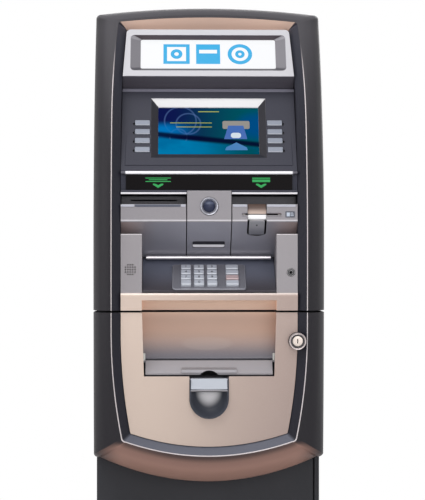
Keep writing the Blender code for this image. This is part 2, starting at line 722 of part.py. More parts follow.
def receipt_face(look):
    skin = module_skin("receipt_face", -panel_half(MODULE_EDGE), -CENTRE_WIDTH / 2 - FIT, look)
    middle = -(CENTRE_WIDTH / 2 + panel_half(MODULE_EDGE)) / 2
    slit = box("receipt_slit", (middle - RECEIPT_SLIT / 2, MODULE_FACE_Y + 0.02, MODULE_TOP + 0.004),
               (middle + RECEIPT_SLIT / 2, UNDERCUT_BACK_Y, MODULE_TOP + 0.010), look)
    return cut(skin, slit)


def card_face(look):
    skin = module_skin("card_face", CENTRE_WIDTH / 2 + FIT, panel_half(MODULE_EDGE), look)
    slot = box("card_slot", (CARD_SLOT_X[0], FRONT - 0.01, CARD_SLOT_LEVEL - CARD_SLOT_HEIGHT / 2),
               (CARD_SLOT_X[1], MODULE_FACE_Y + 0.012, CARD_SLOT_LEVEL + CARD_SLOT_HEIGHT / 2), look)
    notch = box("finger_notch", (NOTCH_X[0], FRONT - 0.01, NOTCH_FOOT),
                (NOTCH_X[1], MODULE_FACE_Y + 0.036, MODULE_TOP + 0.001), look)
    return cut(skin, slot, notch)


def undercut_y(z):
    """Where the undercut face lies at a level."""
    face_y, face_z = MODULE_FACE_Y + 0.0025, MODULE_EDGE - 0.0025
    return face_y + (UNDERCUT_BACK_Y - face_y) * (face_z - z) / (face_z - MODULE_FOOT)


def card_reader(look):
    """The card reader: a body behind the module face, with its tongue and pad in the finger notch."""
    front = MODULE_FACE_Y + MODULE_SKIN + FIT
    tall = 0.0085
    low = CARD_SLOT_LEVEL - 0.0095
    reader = box("card_reader", (READER_X[0], front, low),
                 (READER_X[1], front + 0.098, CARD_SLOT_LEVEL + tall), look)
    slit = box("reader_slit", (CARD_SLOT_X[0] + 0.005, front - 0.02,
                               CARD_SLOT_LEVEL - CARD_SLOT_HEIGHT / 2),
               (CARD_SLOT_X[1] - 0.005, front + 0.085, CARD_SLOT_LEVEL + CARD_SLOT_HEIGHT / 2), look)
    tongue = (NOTCH_X[0] + 0.004, NOTCH_X[1] - 0.004)
    middle = sum(tongue) / 2
    scoop = round_bar("reader_scoop", (middle, front - 0.006, low - 0.02),
                      (middle, front - 0.006, low + 0.05), 0.016, look, 24)
    head, foot = MODULE_EDGE - 0.004, NOTCH_FOOT + 0.002
    inset = 0.003
    pad_profile = ((front + 0.002, low + 0.003), (undercut_y(head) + inset, head),
                   (undercut_y(foot) + inset, foot),
                   (undercut_y(foot) + 5 * inset, foot + inset), (front + 0.040, low + 0.003))
    pad = across("reader_pad", pad_profile, tongue, look)
    return join(cut(reader, scoop, slit), pad)


def centre_panel(look):
    """The block between the modules: it bridges the strip's lip, and holds the lens and the keypad light."""
    top = STRIP_BOTTOM - 0.001 - FIT
    back = MODULE_FACE_Y + CENTRE_TOP_DEPTH
    profile = module_profile(top) + [(back, top - MODULE_SKIN), (back, top)]
    half = CENTRE_WIDTH / 2
    panel = across("centre_panel", profile, (-half, half), look)
    hole = round_bar("lens_hole", (0, FRONT - 0.01, LENS_LEVEL), (0, MODULE_FACE_Y + 0.012, LENS_LEVEL),
                     LENS_RADIUS + FIT, look, 28)
    size = (LIGHT_SIZE[0] + 2 * FIT, LIGHT_SIZE[1] + 2 * FIT)
    slot = lean_block("light_slot", undercut_frame(), (0, light_place()), size, -0.02, 0.01, look)
    return cut(panel, hole, slot)


def undercut_frame():
    face = (MODULE_FACE_Y + 0.0025, MODULE_EDGE - 0.0025)
    return lean_frame((UNDERCUT_BACK_Y, MODULE_FOOT), face)


def light_place():
    return math.hypot(MODULE_FACE_Y + 0.0025 - UNDERCUT_BACK_Y, MODULE_EDGE - 0.0025 - MODULE_FOOT) * 0.375


def keypad_light(look):
    """The lamp lens that lights the keypad from above."""
    return lean_block("keypad_light", undercut_frame(), (0, light_place()), LIGHT_SIZE, -0.006, -0.0005,
                      look)


def camera_lens(look):
    """The security camera's ring with its domed lens."""
    y = MODULE_FACE_Y
    ring = round_bar("camera_lens", (0, y - 0.0015, LENS_LEVEL), (0, y + 0.016, LENS_LEVEL), LENS_RADIUS,
                     look, 28)
    dish = round_bar("lens_dish", (0, y + 0.003, LENS_LEVEL), (0, y - 0.004, LENS_LEVEL), 0.0105, look, 28,
                     end_radius=0.0145)
    return cut(ring, dish)


def shelf_frame():
    return lean_frame((SHELF_FRONT_Y, SHELF_FRONT), (SHELF_BACK_Y, SHELF_BACK))


def keypad_shelf(look):
    """The dark sloping shelf that carries the PIN pad, up to the foot of the undercut."""
    half = SHELF_HALF - FIT
    foot_y, foot_z = SHELF_FRONT_Y + 0.006, SHELF_FRONT + 0.0035
    profile = (
        (foot_y, foot_z),
        (SHELF_BACK_Y, SHELF_BACK),
        (SHELF_BACK_Y + 0.0015, SHELF_BACK + 0.003),
        (SHELF_BACK_Y + 0.012, SHELF_BACK + 0.003),
        (SHELF_BACK_Y + 0.012, SHELF_BACK - 0.004),
        (foot_y + 0.004, foot_z - 0.004),
        (foot_y, foot_z - 0.003),
    )
    shelf = across("keypad_shelf", profile, (-half, half), look)
    size = (PIN_PLATE_SIZE[0] - 0.010, PIN_PLATE_SIZE[1] - 0.010)
    well = lean_block("pin_well", shelf_frame(), (0.0, pin_plate_place()), size, -0.03, 0.02, look)
    return cut(shelf, well)


def pin_plate_place():
    return 0.0063 + PIN_PLATE_SIZE[1] / 2


def pin_key_places():
    for column, (x, width) in enumerate(PIN_COLUMNS):
        for row in range(4):
            yield row + 1, column + 1, x, pin_plate_place() + (1.5 - row) * PIN_ROW_PITCH, width


def pinpad_plate(look):
    """The PIN pad's plate with sixteen key holes."""
    frame = shelf_frame()
    low = FIT
    plate = lean_block("pinpad_plate", frame, (0, pin_plate_place()), PIN_PLATE_SIZE[:2], low,
                       PIN_PLATE_STAND, look)
    body_size = (PIN_PLATE_SIZE[0] - 0.011, PIN_PLATE_SIZE[1] - 0.011)
    body = lean_block("pinpad_body", frame, (0, pin_plate_place()), body_size, -0.009,
                      PIN_PLATE_STAND - 0.001, look)
    join(plate, body)
    for row, column, x, v, width in pin_key_places():
        size = (width + 2 * FIT, PIN_KEY_HEIGHT + 2 * FIT)
        cut(plate, lean_block(f"pin_hole_{row}_{column}", frame, (x, v), size, -0.005, 0.02, look))
    return plate


def pin_keys(plain, special):
    frame = shelf_frame()
    high = PIN_PLATE_STAND + PIN_KEY_STAND
    for row, column, x, v, width in pin_key_places():
        size = (width, PIN_KEY_HEIGHT)
        look = special if column == 4 else plain
        pivot = frame @ Vector((x, v, high))
        key = lean_block(f"pin_key_{row}_{column}", frame, (x, v), size, high - PIN_KEY_DEPTH, high, look,
                         pivot)
        round_edges(key, 0.0010)


def keypad_surround(look):
    """One moulding: the cheeks beside the keypad, the band in front and the top of the cash recess."""
    outer = panel_half(BAND_TOP)
    face = MODULE_FACE_Y
    slope = (MODULE_EDGE - 0.0025 - MODULE_FOOT) / (UNDERCUT_BACK_Y - face - 0.0025)
    ledge_y = face + 0.0025 + (MODULE_EDGE - 0.0025 - CHEEK_TOP) / slope - 0.001
    foot_y = UNDERCUT_BACK_Y - 0.008
    foot_z = CHEEK_TOP - slope * (foot_y - ledge_y)
    cheek = (
        (face - 0.0005, BAND_TOP - 0.002),
        (face + 0.0005, CHEEK_TOP),
        (ledge_y, CHEEK_TOP),
        (foot_y, foot_z),
        (foot_y, BAND_TOP - 0.002),
    )
    low_y = BAND_Y + 0.002
    band = (
        (low_y, SPLIT),
        (BAND_Y, BAND_TOP - 0.001),
        (BAND_Y + 0.0015, BAND_TOP + 0.0015),
        (BAND_Y + 0.008, BAND_TOP + 0.0025),
        (BAND_Y + 0.030, BAND_TOP + 0.0025),
        (BAND_Y + 0.060, SPLIT + 0.012),
        (BAND_Y + 0.060, SPLIT),
    )
    surround = across("keypad_surround", band, (-outer, outer), look)
    for side in (-1, 1):
        reach = sorted((side * SHELF_HALF, side * outer))
        join(surround, across(f"cheek_{side}", cheek, reach, look))
    room = across("recess_roof", chute_wall(0.0, SPLIT - 0.01, RECESS_TOP,
                                            10) + [(FRONT - 0.02, SPLIT - 0.01)],
                  (-SHELF_HALF, SHELF_HALF), look)
    well = lean_block("band_well", shelf_frame(), (0.0, pin_plate_place()),
                      (PIN_PLATE_SIZE[0] - 0.008, PIN_PLATE_SIZE[1] - 0.006), -0.012, 0.02, look)
    cut(surround, room, well)
    shelf_room = across("shelf_room", (
        (SHELF_FRONT_Y + 0.0055, SHELF_FRONT + 0.02),
        (SHELF_FRONT_Y + 0.0055, SHELF_FRONT - 0.0005),
        (SHELF_FRONT_Y + 0.010, SHELF_FRONT - 0.0015),
        (SHELF_BACK_Y + 0.013, SHELF_BACK - 0.006),
        (SHELF_BACK_Y + 0.013, SHELF_BACK + 0.02),
    ), (-SHELF_HALF, SHELF_HALF), look)
    cut(surround, shelf_room)
    jack = round_bar("jack_hole", (JACK_X, FRONT, JACK_LEVEL), (JACK_X, face + 0.024, JACK_LEVEL),
                     JACK_RADIUS + FIT, look, 20)
    pocket = box("speaker_pocket", (-outer - 0.01, face + 0.003, SPEAKER_LEVEL - 0.014),
                 (SPEAKER_X + 0.014, face + 0.020, SPEAKER_LEVEL + 0.014), look)
    cut(surround, jack, pocket)
    for i in range(5):
        for j in range(5):
            if i in (0, 4) and j in (0, 4):
                continue
            x = SPEAKER_X + (i - 2) * SPEAKER_PITCH
            z = SPEAKER_LEVEL + (j - 2) * SPEAKER_PITCH
            hole = round_bar(f"speaker_hole_{i}_{j}", (x, FRONT, z), (x, face + 0.006, z), SPEAKER_HOLE,
                             look, 6)
            cut(surround, hole)
    return surround


def speaker(look):
    y = MODULE_FACE_Y + 0.003
    return round_bar("speaker", (SPEAKER_X, y + FIT, SPEAKER_LEVEL), (SPEAKER_X, y + 0.013, SPEAKER_LEVEL),
                     0.0132, look, 24)


def audio_jack(look):
    """The headphone socket, flush in the right cheek."""
    y = MODULE_FACE_Y
    jack = round_bar("audio_jack", (JACK_X, y - 0.0012, JACK_LEVEL), (JACK_X, y + 0.022, JACK_LEVEL),
                     JACK_RADIUS, look, 20)
    return cut(jack, round_bar("jack_bore", (JACK_X, y - 0.01, JACK_LEVEL), (JACK_X, y + 0.018, JACK_LEVEL),
                               0.0022, look, 12))


# --- Vault door and lower fascia

def chute_wall(offset, low, high, steps):
    """The hollow back of the cash recess as (y, z) points, top to bottom."""
    middle = RECESS_TOP - CHUTE_RADIUS
    front = BAND_Y
    points = []
    for i in range(steps + 1):
        z = high - (high - low) * i / steps
        rise = min(1.0, max(-1.0, (z - middle) / CHUTE_RADIUS))
        points.append((front + offset + CHUTE_DEPTH * math.sqrt(1 - rise**2), z))
    return points


def vault_door(look):
    """A thick plate door with a note throat, furniture holes, bolt guides and the lower hinge tabs."""
    left = -CABINET_HALF + 0.0005
    right = CABINET_HALF - VAULT_WALL - JAMB_GAP
    low = VAULT_WALL + 0.0035
    high = VAULT_HEIGHT - VAULT_WALL / 2 - 0.0015
    front, back = VAULT_FRONT, VAULT_FRONT + DOOR_THICKNESS
    door = box("vault_door", (left, front, low), (right, back, high), look, (*DOOR_AXIS, 0))
    throat = box("door_throat", (-THROAT_HALF, front - 0.01, THROAT_LEVELS[0]),
                 (THROAT_HALF, back + 0.01, THROAT_LEVELS[1]),
                 look)
    spindle = round_bar("spindle_hole", (HANDLE_X, front - 0.01, HANDLE_LEVEL),
                        (HANDLE_X, back + 0.01, HANDLE_LEVEL),
                        SPINDLE_RADIUS + FIT, look, 20)
    dial = round_bar("dial_hole", (DIAL_X, front - 0.01, DIAL_LEVEL), (DIAL_X, back + 0.01, DIAL_LEVEL),
                     SPINDLE_RADIUS + FIT, look, 20)
    cut(door, throat, spindle, dial)
    for label, z in (("foot", low), ("head", high)):
        cut(door, round_bar(f"door_pivot_{label}", (*DOOR_AXIS, z - 0.013), (*DOOR_AXIS, z + 0.013),
                            0.0035 + FIT, look, 16))
    for i, level in enumerate(BOLT_LEVELS):
        for side, z in (("low", level - BOLT_HALF - FIT - 0.006), ("high", level + BOLT_HALF + FIT)):
            post = box(f"bolt_guide_{i}_{side}", (0.148, back - 0.001, z), (0.162, back + 0.017, z + 0.006),
                       look)
            join(door, post)
    for i, level in enumerate(LOWER_HINGES):
        join(door, *hinge_tab(f"lower_tab_{i}", LOWER_HINGE_Y, front + 0.004, level, look))
    return door


def locking_bolts(look):
    """The bolt bar with its bolts: it slides behind the door to lock it behind the jamb."""
    back = VAULT_FRONT + DOOR_THICKNESS + FIT
    right = CABINET_HALF - VAULT_WALL - JAMB_GAP - 0.012
    bar = box("locking_bolts", (0.108, back, BOLT_LEVELS[0] - 0.030),
              (0.122, back + 0.0075, HANDLE_LEVEL + 0.020), look)
    for i, level in enumerate(BOLT_LEVELS):
        join(bar, box(f"bolt_{i}", (0.104, back + 0.0060, level - BOLT_HALF),
                      (right, back + 0.0166, level + BOLT_HALF), look))
    arm = box("bolt_arm", (HANDLE_X + 0.022, back, HANDLE_LEVEL - 0.006),
              (0.115, back + 0.005, HANDLE_LEVEL + 0.006), look)
    return join(bar, arm)


def vault_handle(look):
    """A lever on a spindle, with the crank that drives the bolt bar behind the door."""
    front = VAULT_FRONT
    back = VAULT_FRONT + DOOR_THICKNESS
    pivot = (HANDLE_X, front, HANDLE_LEVEL)
    handle = round_bar("vault_handle", (HANDLE_X, front - 0.032, HANDLE_LEVEL),
                       (HANDLE_X, back + 0.006, HANDLE_LEVEL),
                       SPINDLE_RADIUS, look, 20, pivot)
    boss = round_bar("handle_boss", (HANDLE_X, front - 0.034, HANDLE_LEVEL),
                     (HANDLE_X, front - FIT, HANDLE_LEVEL), 0.018,
                     look, 24)
    lever = box("handle_lever", (HANDLE_X - 0.010, front - 0.034, HANDLE_LEVEL - HANDLE_REACH),
                (HANDLE_X + 0.010, front - 0.022, HANDLE_LEVEL), look)
    crank = round_bar("handle_crank", (HANDLE_X, back + FIT, HANDLE_LEVEL),
                      (HANDLE_X, back + 0.006, HANDLE_LEVEL), 0.020,
                      look, 24)
    return join(handle, boss, lever, crank)


def combination_dial(look):
    front = VAULT_FRONT
    back = VAULT_FRONT + DOOR_THICKNESS
    pivot = (DIAL_X, front, DIAL_LEVEL)
    dial = round_bar("combination_dial", (DIAL_X, front - 0.012, DIAL_LEVEL),
                     (DIAL_X, front - FIT, DIAL_LEVEL),
                     DIAL_RADIUS, look, 32, pivot)
    knob = round_bar("dial_knob", (DIAL_X, front - 0.030, DIAL_LEVEL), (DIAL_X, front - 0.010, DIAL_LEVEL),
                     0.014, look, 20)
    spindle = round_bar("dial_spindle", (DIAL_X, front - 0.005, DIAL_LEVEL),
                        (DIAL_X, back - 0.001, DIAL_LEVEL),
                        SPINDLE_RADIUS, look, 16)
    return join(dial, knob, spindle)


def inner_belly():
    return arch(inner_half, VAULT_HEIGHT, PANEL_CORNER, PANEL_BOTTOM, 0.006)


def lower_bezel(look):
    contours = (
        arch(outer_half, VAULT_HEIGHT, BELLY_CORNER, BELLY_BOTTOM, 0.010),
        arch(crest_half, VAULT_HEIGHT, BELLY_CREST_CORNER, BELLY_CREST, 0.008),
        inner_belly(),
    )
    half = [0.0] * SIDE_STATIONS
    half += [i / CORNER_STATIONS for i in range(CORNER_STATIONS)] + [1.0] * TOP_STATIONS
    shares = half + [1.0] + half[::-1]
    drops = [SIDE_DROP + (BELLY_DROP - SIDE_DROP) * share for share in shares]
    frame = bezel("lower_bezel", contours, drops, LOWER_BACK, look)
    for i, level in enumerate(LOWER_HINGES):
        eye, arm, hole, notch = hinge_lug(f"lower_lug_{i}", LOWER_HINGE_Y, level, look)
        join(cut(frame, notch), arm, eye)
        cut(frame, hole)
    cut(frame, hinge_relief("lower_relief", LOWER_HINGE_Y, LOWER_BACK, BELLY_BOTTOM, VAULT_HEIGHT + 0.01,
                            look))
    return cut(frame, lock_room("bezel_lock_room", look))


def lock_room(name, look):
    return round_bar(name, (LOCK_X, FRONT - 0.01, LOCK_LEVEL), (LOCK_X, FRONT + 0.060, LOCK_LEVEL),
                     LOCK_RADIUS + FIT, look, 28)


def lower_panel(look):
    """The plate inside the lower frame, with the cash recess, the finger scoop and the lock cut through."""
    steps = 6
    levels = [VAULT_HEIGHT - (VAULT_HEIGHT - PANEL_BOTTOM) * i / steps for i in range(steps + 1)]
    front = [(crest_y(z) + INNER_DROP - 0.001, z) for z in levels]
    rear = [(y + BEZEL_WALL, z) for y, z in reversed(front)]
    panel = across("lower_panel", front + rear, panel_half, look)
    belly = [(x, z + FIT) for x, z in inner_belly() if z <= PANEL_CORNER + 0.007]
    far = WIDTH / 2
    below = belly + [(far, PANEL_CORNER), (far, BELLY_BOTTOM), (-far, BELLY_BOTTOM), (-far, PANEL_CORNER)]
    trim = upright("panel_trim", below, FRONT - 0.01, FRONT + 0.08, look)
    head, foot = SHELF_HALF, CHUTE_FOOT_HALF
    mouth_outline = ((-head, VAULT_HEIGHT + 0.01), (-foot, TRAY_TOP), (foot, TRAY_TOP),
                     (head, VAULT_HEIGHT + 0.01))
    mouth = upright("recess_mouth", mouth_outline, FRONT - 0.01, FRONT + 0.08, look)
    scoop = upright("scoop_mouth", scoop_outline(SCOOP_HALF, TRAY_TOP + 0.005), FRONT - 0.01, FRONT + 0.08,
                    look)
    return cut(panel, trim, mouth, scoop, lock_room("panel_lock_room", look))


def scoop_outline(half, top):
    """A round-ended tongue under the cash tray."""
    centre = SCOOP_BOTTOM + SCOOP_HALF
    outline = [(-half, top)]
    for i in range(17):
        angle = math.pi + math.pi * i / 16
        outline.append((half * math.cos(angle), centre + half * math.sin(angle)))
    return outline + [(half, top)]


def panel_back(z):
    """Just behind the lower panel at a level."""
    return crest_y(z) + INNER_DROP - 0.001 + BEZEL_WALL + 0.0006


def dispense_chute(look):
    """The hollow back of the recess, its side walls and the tray that the notes land in."""
    half = SHELF_HALF + CHUTE_SKIN
    top = VAULT_HEIGHT - 0.0005
    foot = TRAY_TOP - 0.006
    inner = chute_wall(0.0, FLAP_TOP, top, 10)
    outer = [(y + CHUTE_SKIN, z) for y, z in reversed(inner)]
    hollow = across("dispense_chute", inner + outer, (-half, half), look)
    rear = LOWER_BACK - 0.002
    for i, side in enumerate((-1, 1)):
        reach = sorted((side * (SHELF_HALF + FIT), side * half))
        side_wall = across(f"chute_side_{i}", ((panel_back(foot), foot), (panel_back(top), top),
                                               (rear - 0.040, top),
                                               (rear, THROAT_LEVELS[1] + 0.004), (rear, foot)), reach, look)
        join(hollow, side_wall)
    tray = box("chute_tray", (-half, panel_back(foot), foot), (half, rear, foot + CHUTE_SKIN), look)
    roof_low = THROAT_LEVELS[1] + 0.002
    roof = box("chute_roof", (-half, FRONT + 0.058, roof_low), (half, rear, roof_low + 0.002), look)
    join(hollow, tray, roof)
    notch = box("tray_notch", (-SCOOP_HALF + 0.006, FRONT, TRAY_TOP - 0.01),
                (SCOOP_HALF - 0.006, FRONT + 0.045, TRAY_TOP), look)
    cut(hollow, notch)
    for i, side in enumerate((-1, 1)):
        tip = side * (half + 0.001)
        seat = side * (FLAP_HALF - 0.002)
        cut(hollow, round_bar(f"flap_seat_{i}", (seat, *FLAP_AXIS), (tip, *FLAP_AXIS),
                              FLAP_PIN_RADIUS + FIT, look, 12))
    return hollow


FLAP_HALF = CHUTE_FOOT_HALF - 0.001
FLAP_AXIS = (FRONT + 0.046, FLAP_TOP - 0.0045)


def cash_flap(look):
    """The metal flap in front of the tray, hung on two pins, with a thumb tab in the middle."""
    y, z = FLAP_AXIS
    foot_y, foot_z = FRONT + 0.0265, TRAY_TOP + 0.0025
    t = FLAP_THICKNESS
    plate = ((y - t / 2, z + 0.002), (foot_y, foot_z + 0.003), (foot_y + 0.0005, foot_z),
             (foot_y + t, foot_z + 0.0005),
             (y + t, z + 0.0015))
    half = FLAP_HALF - 0.0015
    flap = across("cash_flap", plate, (-half, half), look, (0, y, z))
    pins = round_bar("flap_pins", (-FLAP_HALF - CHUTE_SKIN - 0.003, y, z),
                     (FLAP_HALF + CHUTE_SKIN + 0.003, y, z),
                     FLAP_PIN_RADIUS, look, 12)
    tab = across("flap_tab", ((foot_y + 0.004, foot_z + 0.0125), (foot_y - 0.004, foot_z + 0.009),
                              (foot_y - 0.005, foot_z + 0.004),
                              (foot_y + 0.001, foot_z + 0.003)), (-0.048, 0.048), look)
    grip = round_bar("flap_grip", (0, foot_y - 0.02, foot_z - 0.012), (0, foot_y + 0.02, foot_z - 0.012),
                     0.020, look, 24)
    return cut(join(flap, pins, tab), grip)


def finger_scoop(look):
    """The dark bowl under the tray that leaves room for fingertips."""
    half = SCOOP_HALF - FIT
    top = TRAY_TOP - 0.0065
    lip = FRONT + INNER_DROP + 0.0055
    y_back = lip + 0.028
    outline = scoop_outline(half, top)
    bowl = upright("finger_scoop", outline, lip, y_back, look)
    centre = SCOOP_BOTTOM + SCOOP_HALF
    rings = []
    steps = 5
    for i in range(steps + 1):
        angle = 0.5 * math.pi * i / steps
        shrink = math.cos(angle * 0.85)
        y = lip - 0.002 + 0.024 * math.sin(angle)
        inner = [(-(half - 0.002) * shrink, top + 0.01)]
        for j in range(17):
            turn = math.pi + math.pi * j / 16
            inner.append(((half - 0.002) * shrink * math.cos(turn),
                          centre + (half - 0.002) * shrink * math.sin(turn)))
        inner.append(((half - 0.002) * shrink, top + 0.01))
        rings.append([(x, y, z) for x, z in inner])
    return cut(bowl, loft("scoop_hollow", rings, look))


def lock_body(look):
    """The lock's round housing, set through the edge of the panel and the frame."""
    pivot = (LOCK_X, FRONT, LOCK_LEVEL)
    body = round_bar("lock_body", (LOCK_X, FRONT + 0.0008, LOCK_LEVEL), (LOCK_X, FRONT + 0.040, LOCK_LEVEL),
                     LOCK_RADIUS, look,
                     28, pivot)
    bore = round_bar("lock_bore", (LOCK_X, FRONT - 0.01, LOCK_LEVEL), (LOCK_X, FRONT + 0.05, LOCK_LEVEL),
                     PLUG_RADIUS + FIT, look, 24)
    return cut(body, bore)


def lock_plug(look):
    """The turning plug with its keyhole and the cam that catches behind the frame."""
    pivot = (LOCK_X, FRONT, LOCK_LEVEL)
    plug = round_bar("lock_plug", (LOCK_X, FRONT + 0.0012, LOCK_LEVEL), (LOCK_X, FRONT + 0.046, LOCK_LEVEL),
                     PLUG_RADIUS,
                     look, 24, pivot)
    cam = box("lock_cam", (LOCK_X - 0.006, FRONT + 0.0415, LOCK_LEVEL - 0.030),
              (LOCK_X + 0.006, FRONT + 0.045, LOCK_LEVEL + 0.006),
              look)
    key_way = box("key_way", (LOCK_X - 0.0008, FRONT - 0.01, LOCK_LEVEL - 0.004),
                  (LOCK_X + 0.0008, FRONT + 0.02, LOCK_LEVEL + 0.004),
                  look)
    return cut(join(plug, cam), key_way)


def build():
    for thing in list(bpy.data.objects):
        bpy.data.objects.remove(thing)
    dark = paint("graphite_paint", (0.055, 0.053, 0.056), 0.35, 0.6)
    steel = paint("cabinet_paint", (0.045, 0.045, 0.048), 0.45, 0.3)
    silver = paint("champagne_paint", (0.58, 0.51, 0.47), 0.35, 0.7)
    grey = paint("module_paint", (0.28, 0.27, 0.28), 0.35, 0.6)
    slate = paint("slate_paint", (0.09, 0.09, 0.11), 0.38, 0.5)
    white = paint("sign_white", (0.85, 0.85, 0.86), 0.4, 0.0)
    lit = paint("lit_panel", (0.9, 0.93, 0.96), 0.3, 0.0)
    gloss = paint("gloss_black", (0.01, 0.008, 0.010), 0.08, 0.0)
    metal = paint("bare_metal", (0.55, 0.55, 0.56), 0.25, 1.0)
    plated = paint("zinc_plate", (0.60, 0.60, 0.58), 0.35, 1.0)
    plastic = paint("black_plastic", (0.02, 0.02, 0.022), 0.5, 0.0)
    key_metal = paint("key_metal", (0.62, 0.64, 0.68), 0.3, 0.9)
    paper = paint("paper", (0.85, 0.84, 0.80), 0.8, 0.0)

    vault_cabinet(steel)
    head_cabinet(steel)
    power_inlet(plastic)
    receipt_printer(plated)
    paper_roll(paper)
    control_unit(plated)
    dispenser_module(plated)
    cash_cassette(plastic)

    upper_bezel(dark)
    sign_housing(white)
    sign_panel(lit)
    monitor_panel(slate)
    side_keys(key_metal)
    lcd_display(plastic)
    label_strip(gloss)
    receipt_face(grey)
    card_face(grey)
    card_reader(grey)
    centre_panel(grey)
    keypad_light(lit)
    camera_lens(gloss)
    keypad_shelf(slate)
    pinpad_plate(slate)
    pin_keys(key_metal, plated)
    keypad_surround(silver)
    speaker(plastic)
    audio_jack(plastic)

    vault_door(steel)
    locking_bolts(plated)
    vault_handle(plated)
    combination_dial(plated)
    lower_bezel(dark)
    lower_panel(silver)
    dispense_chute(silver)
    finger_scoop(slate)
    cash_flap(metal)
    lock_body(metal)
    lock_plug(metal)


build()
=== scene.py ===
import json
import math

import bmesh
import bpy
from mathutils import Matrix, Vector

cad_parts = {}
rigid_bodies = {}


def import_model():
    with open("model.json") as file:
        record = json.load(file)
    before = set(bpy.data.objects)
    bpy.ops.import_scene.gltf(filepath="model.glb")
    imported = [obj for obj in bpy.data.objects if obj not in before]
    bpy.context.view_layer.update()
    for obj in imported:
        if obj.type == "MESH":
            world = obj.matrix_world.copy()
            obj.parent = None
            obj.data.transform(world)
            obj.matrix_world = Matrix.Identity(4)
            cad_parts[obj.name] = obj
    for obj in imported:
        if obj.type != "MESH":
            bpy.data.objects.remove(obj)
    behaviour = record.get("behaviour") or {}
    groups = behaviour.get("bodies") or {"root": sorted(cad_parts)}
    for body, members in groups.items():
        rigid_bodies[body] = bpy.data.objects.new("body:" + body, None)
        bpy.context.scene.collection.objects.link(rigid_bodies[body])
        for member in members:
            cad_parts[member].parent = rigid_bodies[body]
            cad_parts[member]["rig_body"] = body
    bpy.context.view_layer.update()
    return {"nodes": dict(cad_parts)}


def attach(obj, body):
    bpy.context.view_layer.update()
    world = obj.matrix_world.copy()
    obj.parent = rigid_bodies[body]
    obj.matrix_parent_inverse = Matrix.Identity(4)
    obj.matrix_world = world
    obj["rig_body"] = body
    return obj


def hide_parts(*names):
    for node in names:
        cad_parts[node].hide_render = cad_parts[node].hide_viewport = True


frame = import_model()


# --- Vault cabinet
# The safe box at the foot of the machine, welded from thick steel plate and powder coated dark grey.
# Every plate edge is dressed round before the coat goes on.

class Wire:
    """One output in a finish. Sums on it add Math nodes."""

    def __init__(self, finish, socket):
        self.finish, self.socket = finish, socket

    def sum(self, operation, first, second=0.0):
        return self.finish.add("ShaderNodeMath", {"operation": operation}, {0: first, 1: second})

    def __add__(self, other):
        return self.sum("ADD", self, other)

    def __radd__(self, other):
        return self.sum("ADD", other, self)

    def __sub__(self, other):
        return self.sum("SUBTRACT", self, other)

    def __rsub__(self, other):
        return self.sum("SUBTRACT", other, self)

    def __mul__(self, other):
        return self.sum("MULTIPLY", self, other)

    def __rmul__(self, other):
        return self.sum("MULTIPLY", other, self)

    def __pow__(self, other):
        return self.sum("POWER", self, other)

    def most(self, other):
        return self.sum("MAXIMUM", self, other)

    def size(self):
        return self.sum("ABSOLUTE", self, 0.0)

    def rise(self, low, high):
        """0 below low, 1 above high, and smooth between."""
        return self.finish.add("ShaderNodeMapRange", {"interpolation_type": "SMOOTHSTEP"},
                               {"Value": self, "From Min": low, "From Max": high})

    def glints(self):
        """The few flakes in a grain that catch the light, as the mask for painted glints."""
        return self.rise(0.52, 0.72)


class Finish:
    """A surface finish, built from nodes and closed by surface(). The sky of the room is built the same way."""

    def __init__(self, name, world=None):
        self.material = world or bpy.data.materials.new(name)
        self.material.use_nodes = True
        self.tree = self.material.node_tree
        self.tree.nodes.clear()

    def add(self, kind, settings, sockets, out=0):
        node = self.tree.nodes.new(kind)
        for name, value in settings.items():
            setattr(node, name, value)
        for key, value in sockets.items():
            if isinstance(value, Wire):
                self.tree.links.new(value.socket, node.inputs[key])
            else:
                node.inputs[key].default_value = value
        return None if out is None else Wire(self, node.outputs[out])

    def place(self):
        return self.add("ShaderNodeTexCoord", {}, {}, "Object")

    def along(self, axis):
        return self.add("ShaderNodeSeparateXYZ", {}, {"Vector": self.place()}, axis)

    def tilt(self, axis="Z"):
        """Which way the surface faces along an axis, from -1 to 1."""
        return self.add("ShaderNodeSeparateXYZ", {},
                        {"Vector": self.add("ShaderNodeTexCoord", {}, {}, "Normal")}, axis)

    def grain(self, scale, detail=2.0, stretch=(1.0, 1.0, 1.0)):
        """Noise with so many features a metre."""
        spread = self.add("ShaderNodeMapping", {}, {"Vector": self.place(), "Scale": stretch})
        return self.add("ShaderNodeTexNoise", {}, {"Vector": spread, "Scale": scale, "Detail": detail})

    def blend(self, share, first, second):
        return self.add("ShaderNodeMix", {"data_type": "RGBA"}, {0: share, 6: first, 7: second}, 2)

    def dents(self, height, depth):
        return self.add("ShaderNodeBump", {}, {"Height": height, "Strength": 1.0, "Distance": depth})

    def surface(self, colour, roughness, metallic=0.0, normal=None, fixed=None):
        sockets = {"Base Color": colour, "Roughness": roughness, "Metallic": metallic, "Specular IOR Level": 0.25,
                   **(fixed or {})}
        if normal:
            sockets["Normal"] = normal
        shader = self.add("ShaderNodeBsdfPrincipled", {}, sockets, "BSDF")
        self.add("ShaderNodeOutputMaterial", {}, {"Surface": shader}, None)
        return self.material


def tone(red, green, blue):
    """A colour as it looks, 0 to 255, as linear light."""
    shares = (red / 255, green / 255, blue / 255)
    return (*(c / 12.92 if c <= 0.04045 else ((c + 0.055) / 1.055) ** 2.4 for c in shares), 1.0)


def powder_coat(name, dark, light):
    coat = Finish(name)
    grit = coat.grain(1500, 1)
    haze = coat.grain(7, 3)
    colour = coat.blend(grit * 0.45 + haze * 0.55, dark, light)
    return coat.surface(colour, grit * 0.14 + 0.40, 0.0, coat.dents(grit, 0.00025),
                        {"Specular IOR Level": 0.18})


body_of = {node: thing["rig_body"] for node, thing in frame["nodes"].items()}


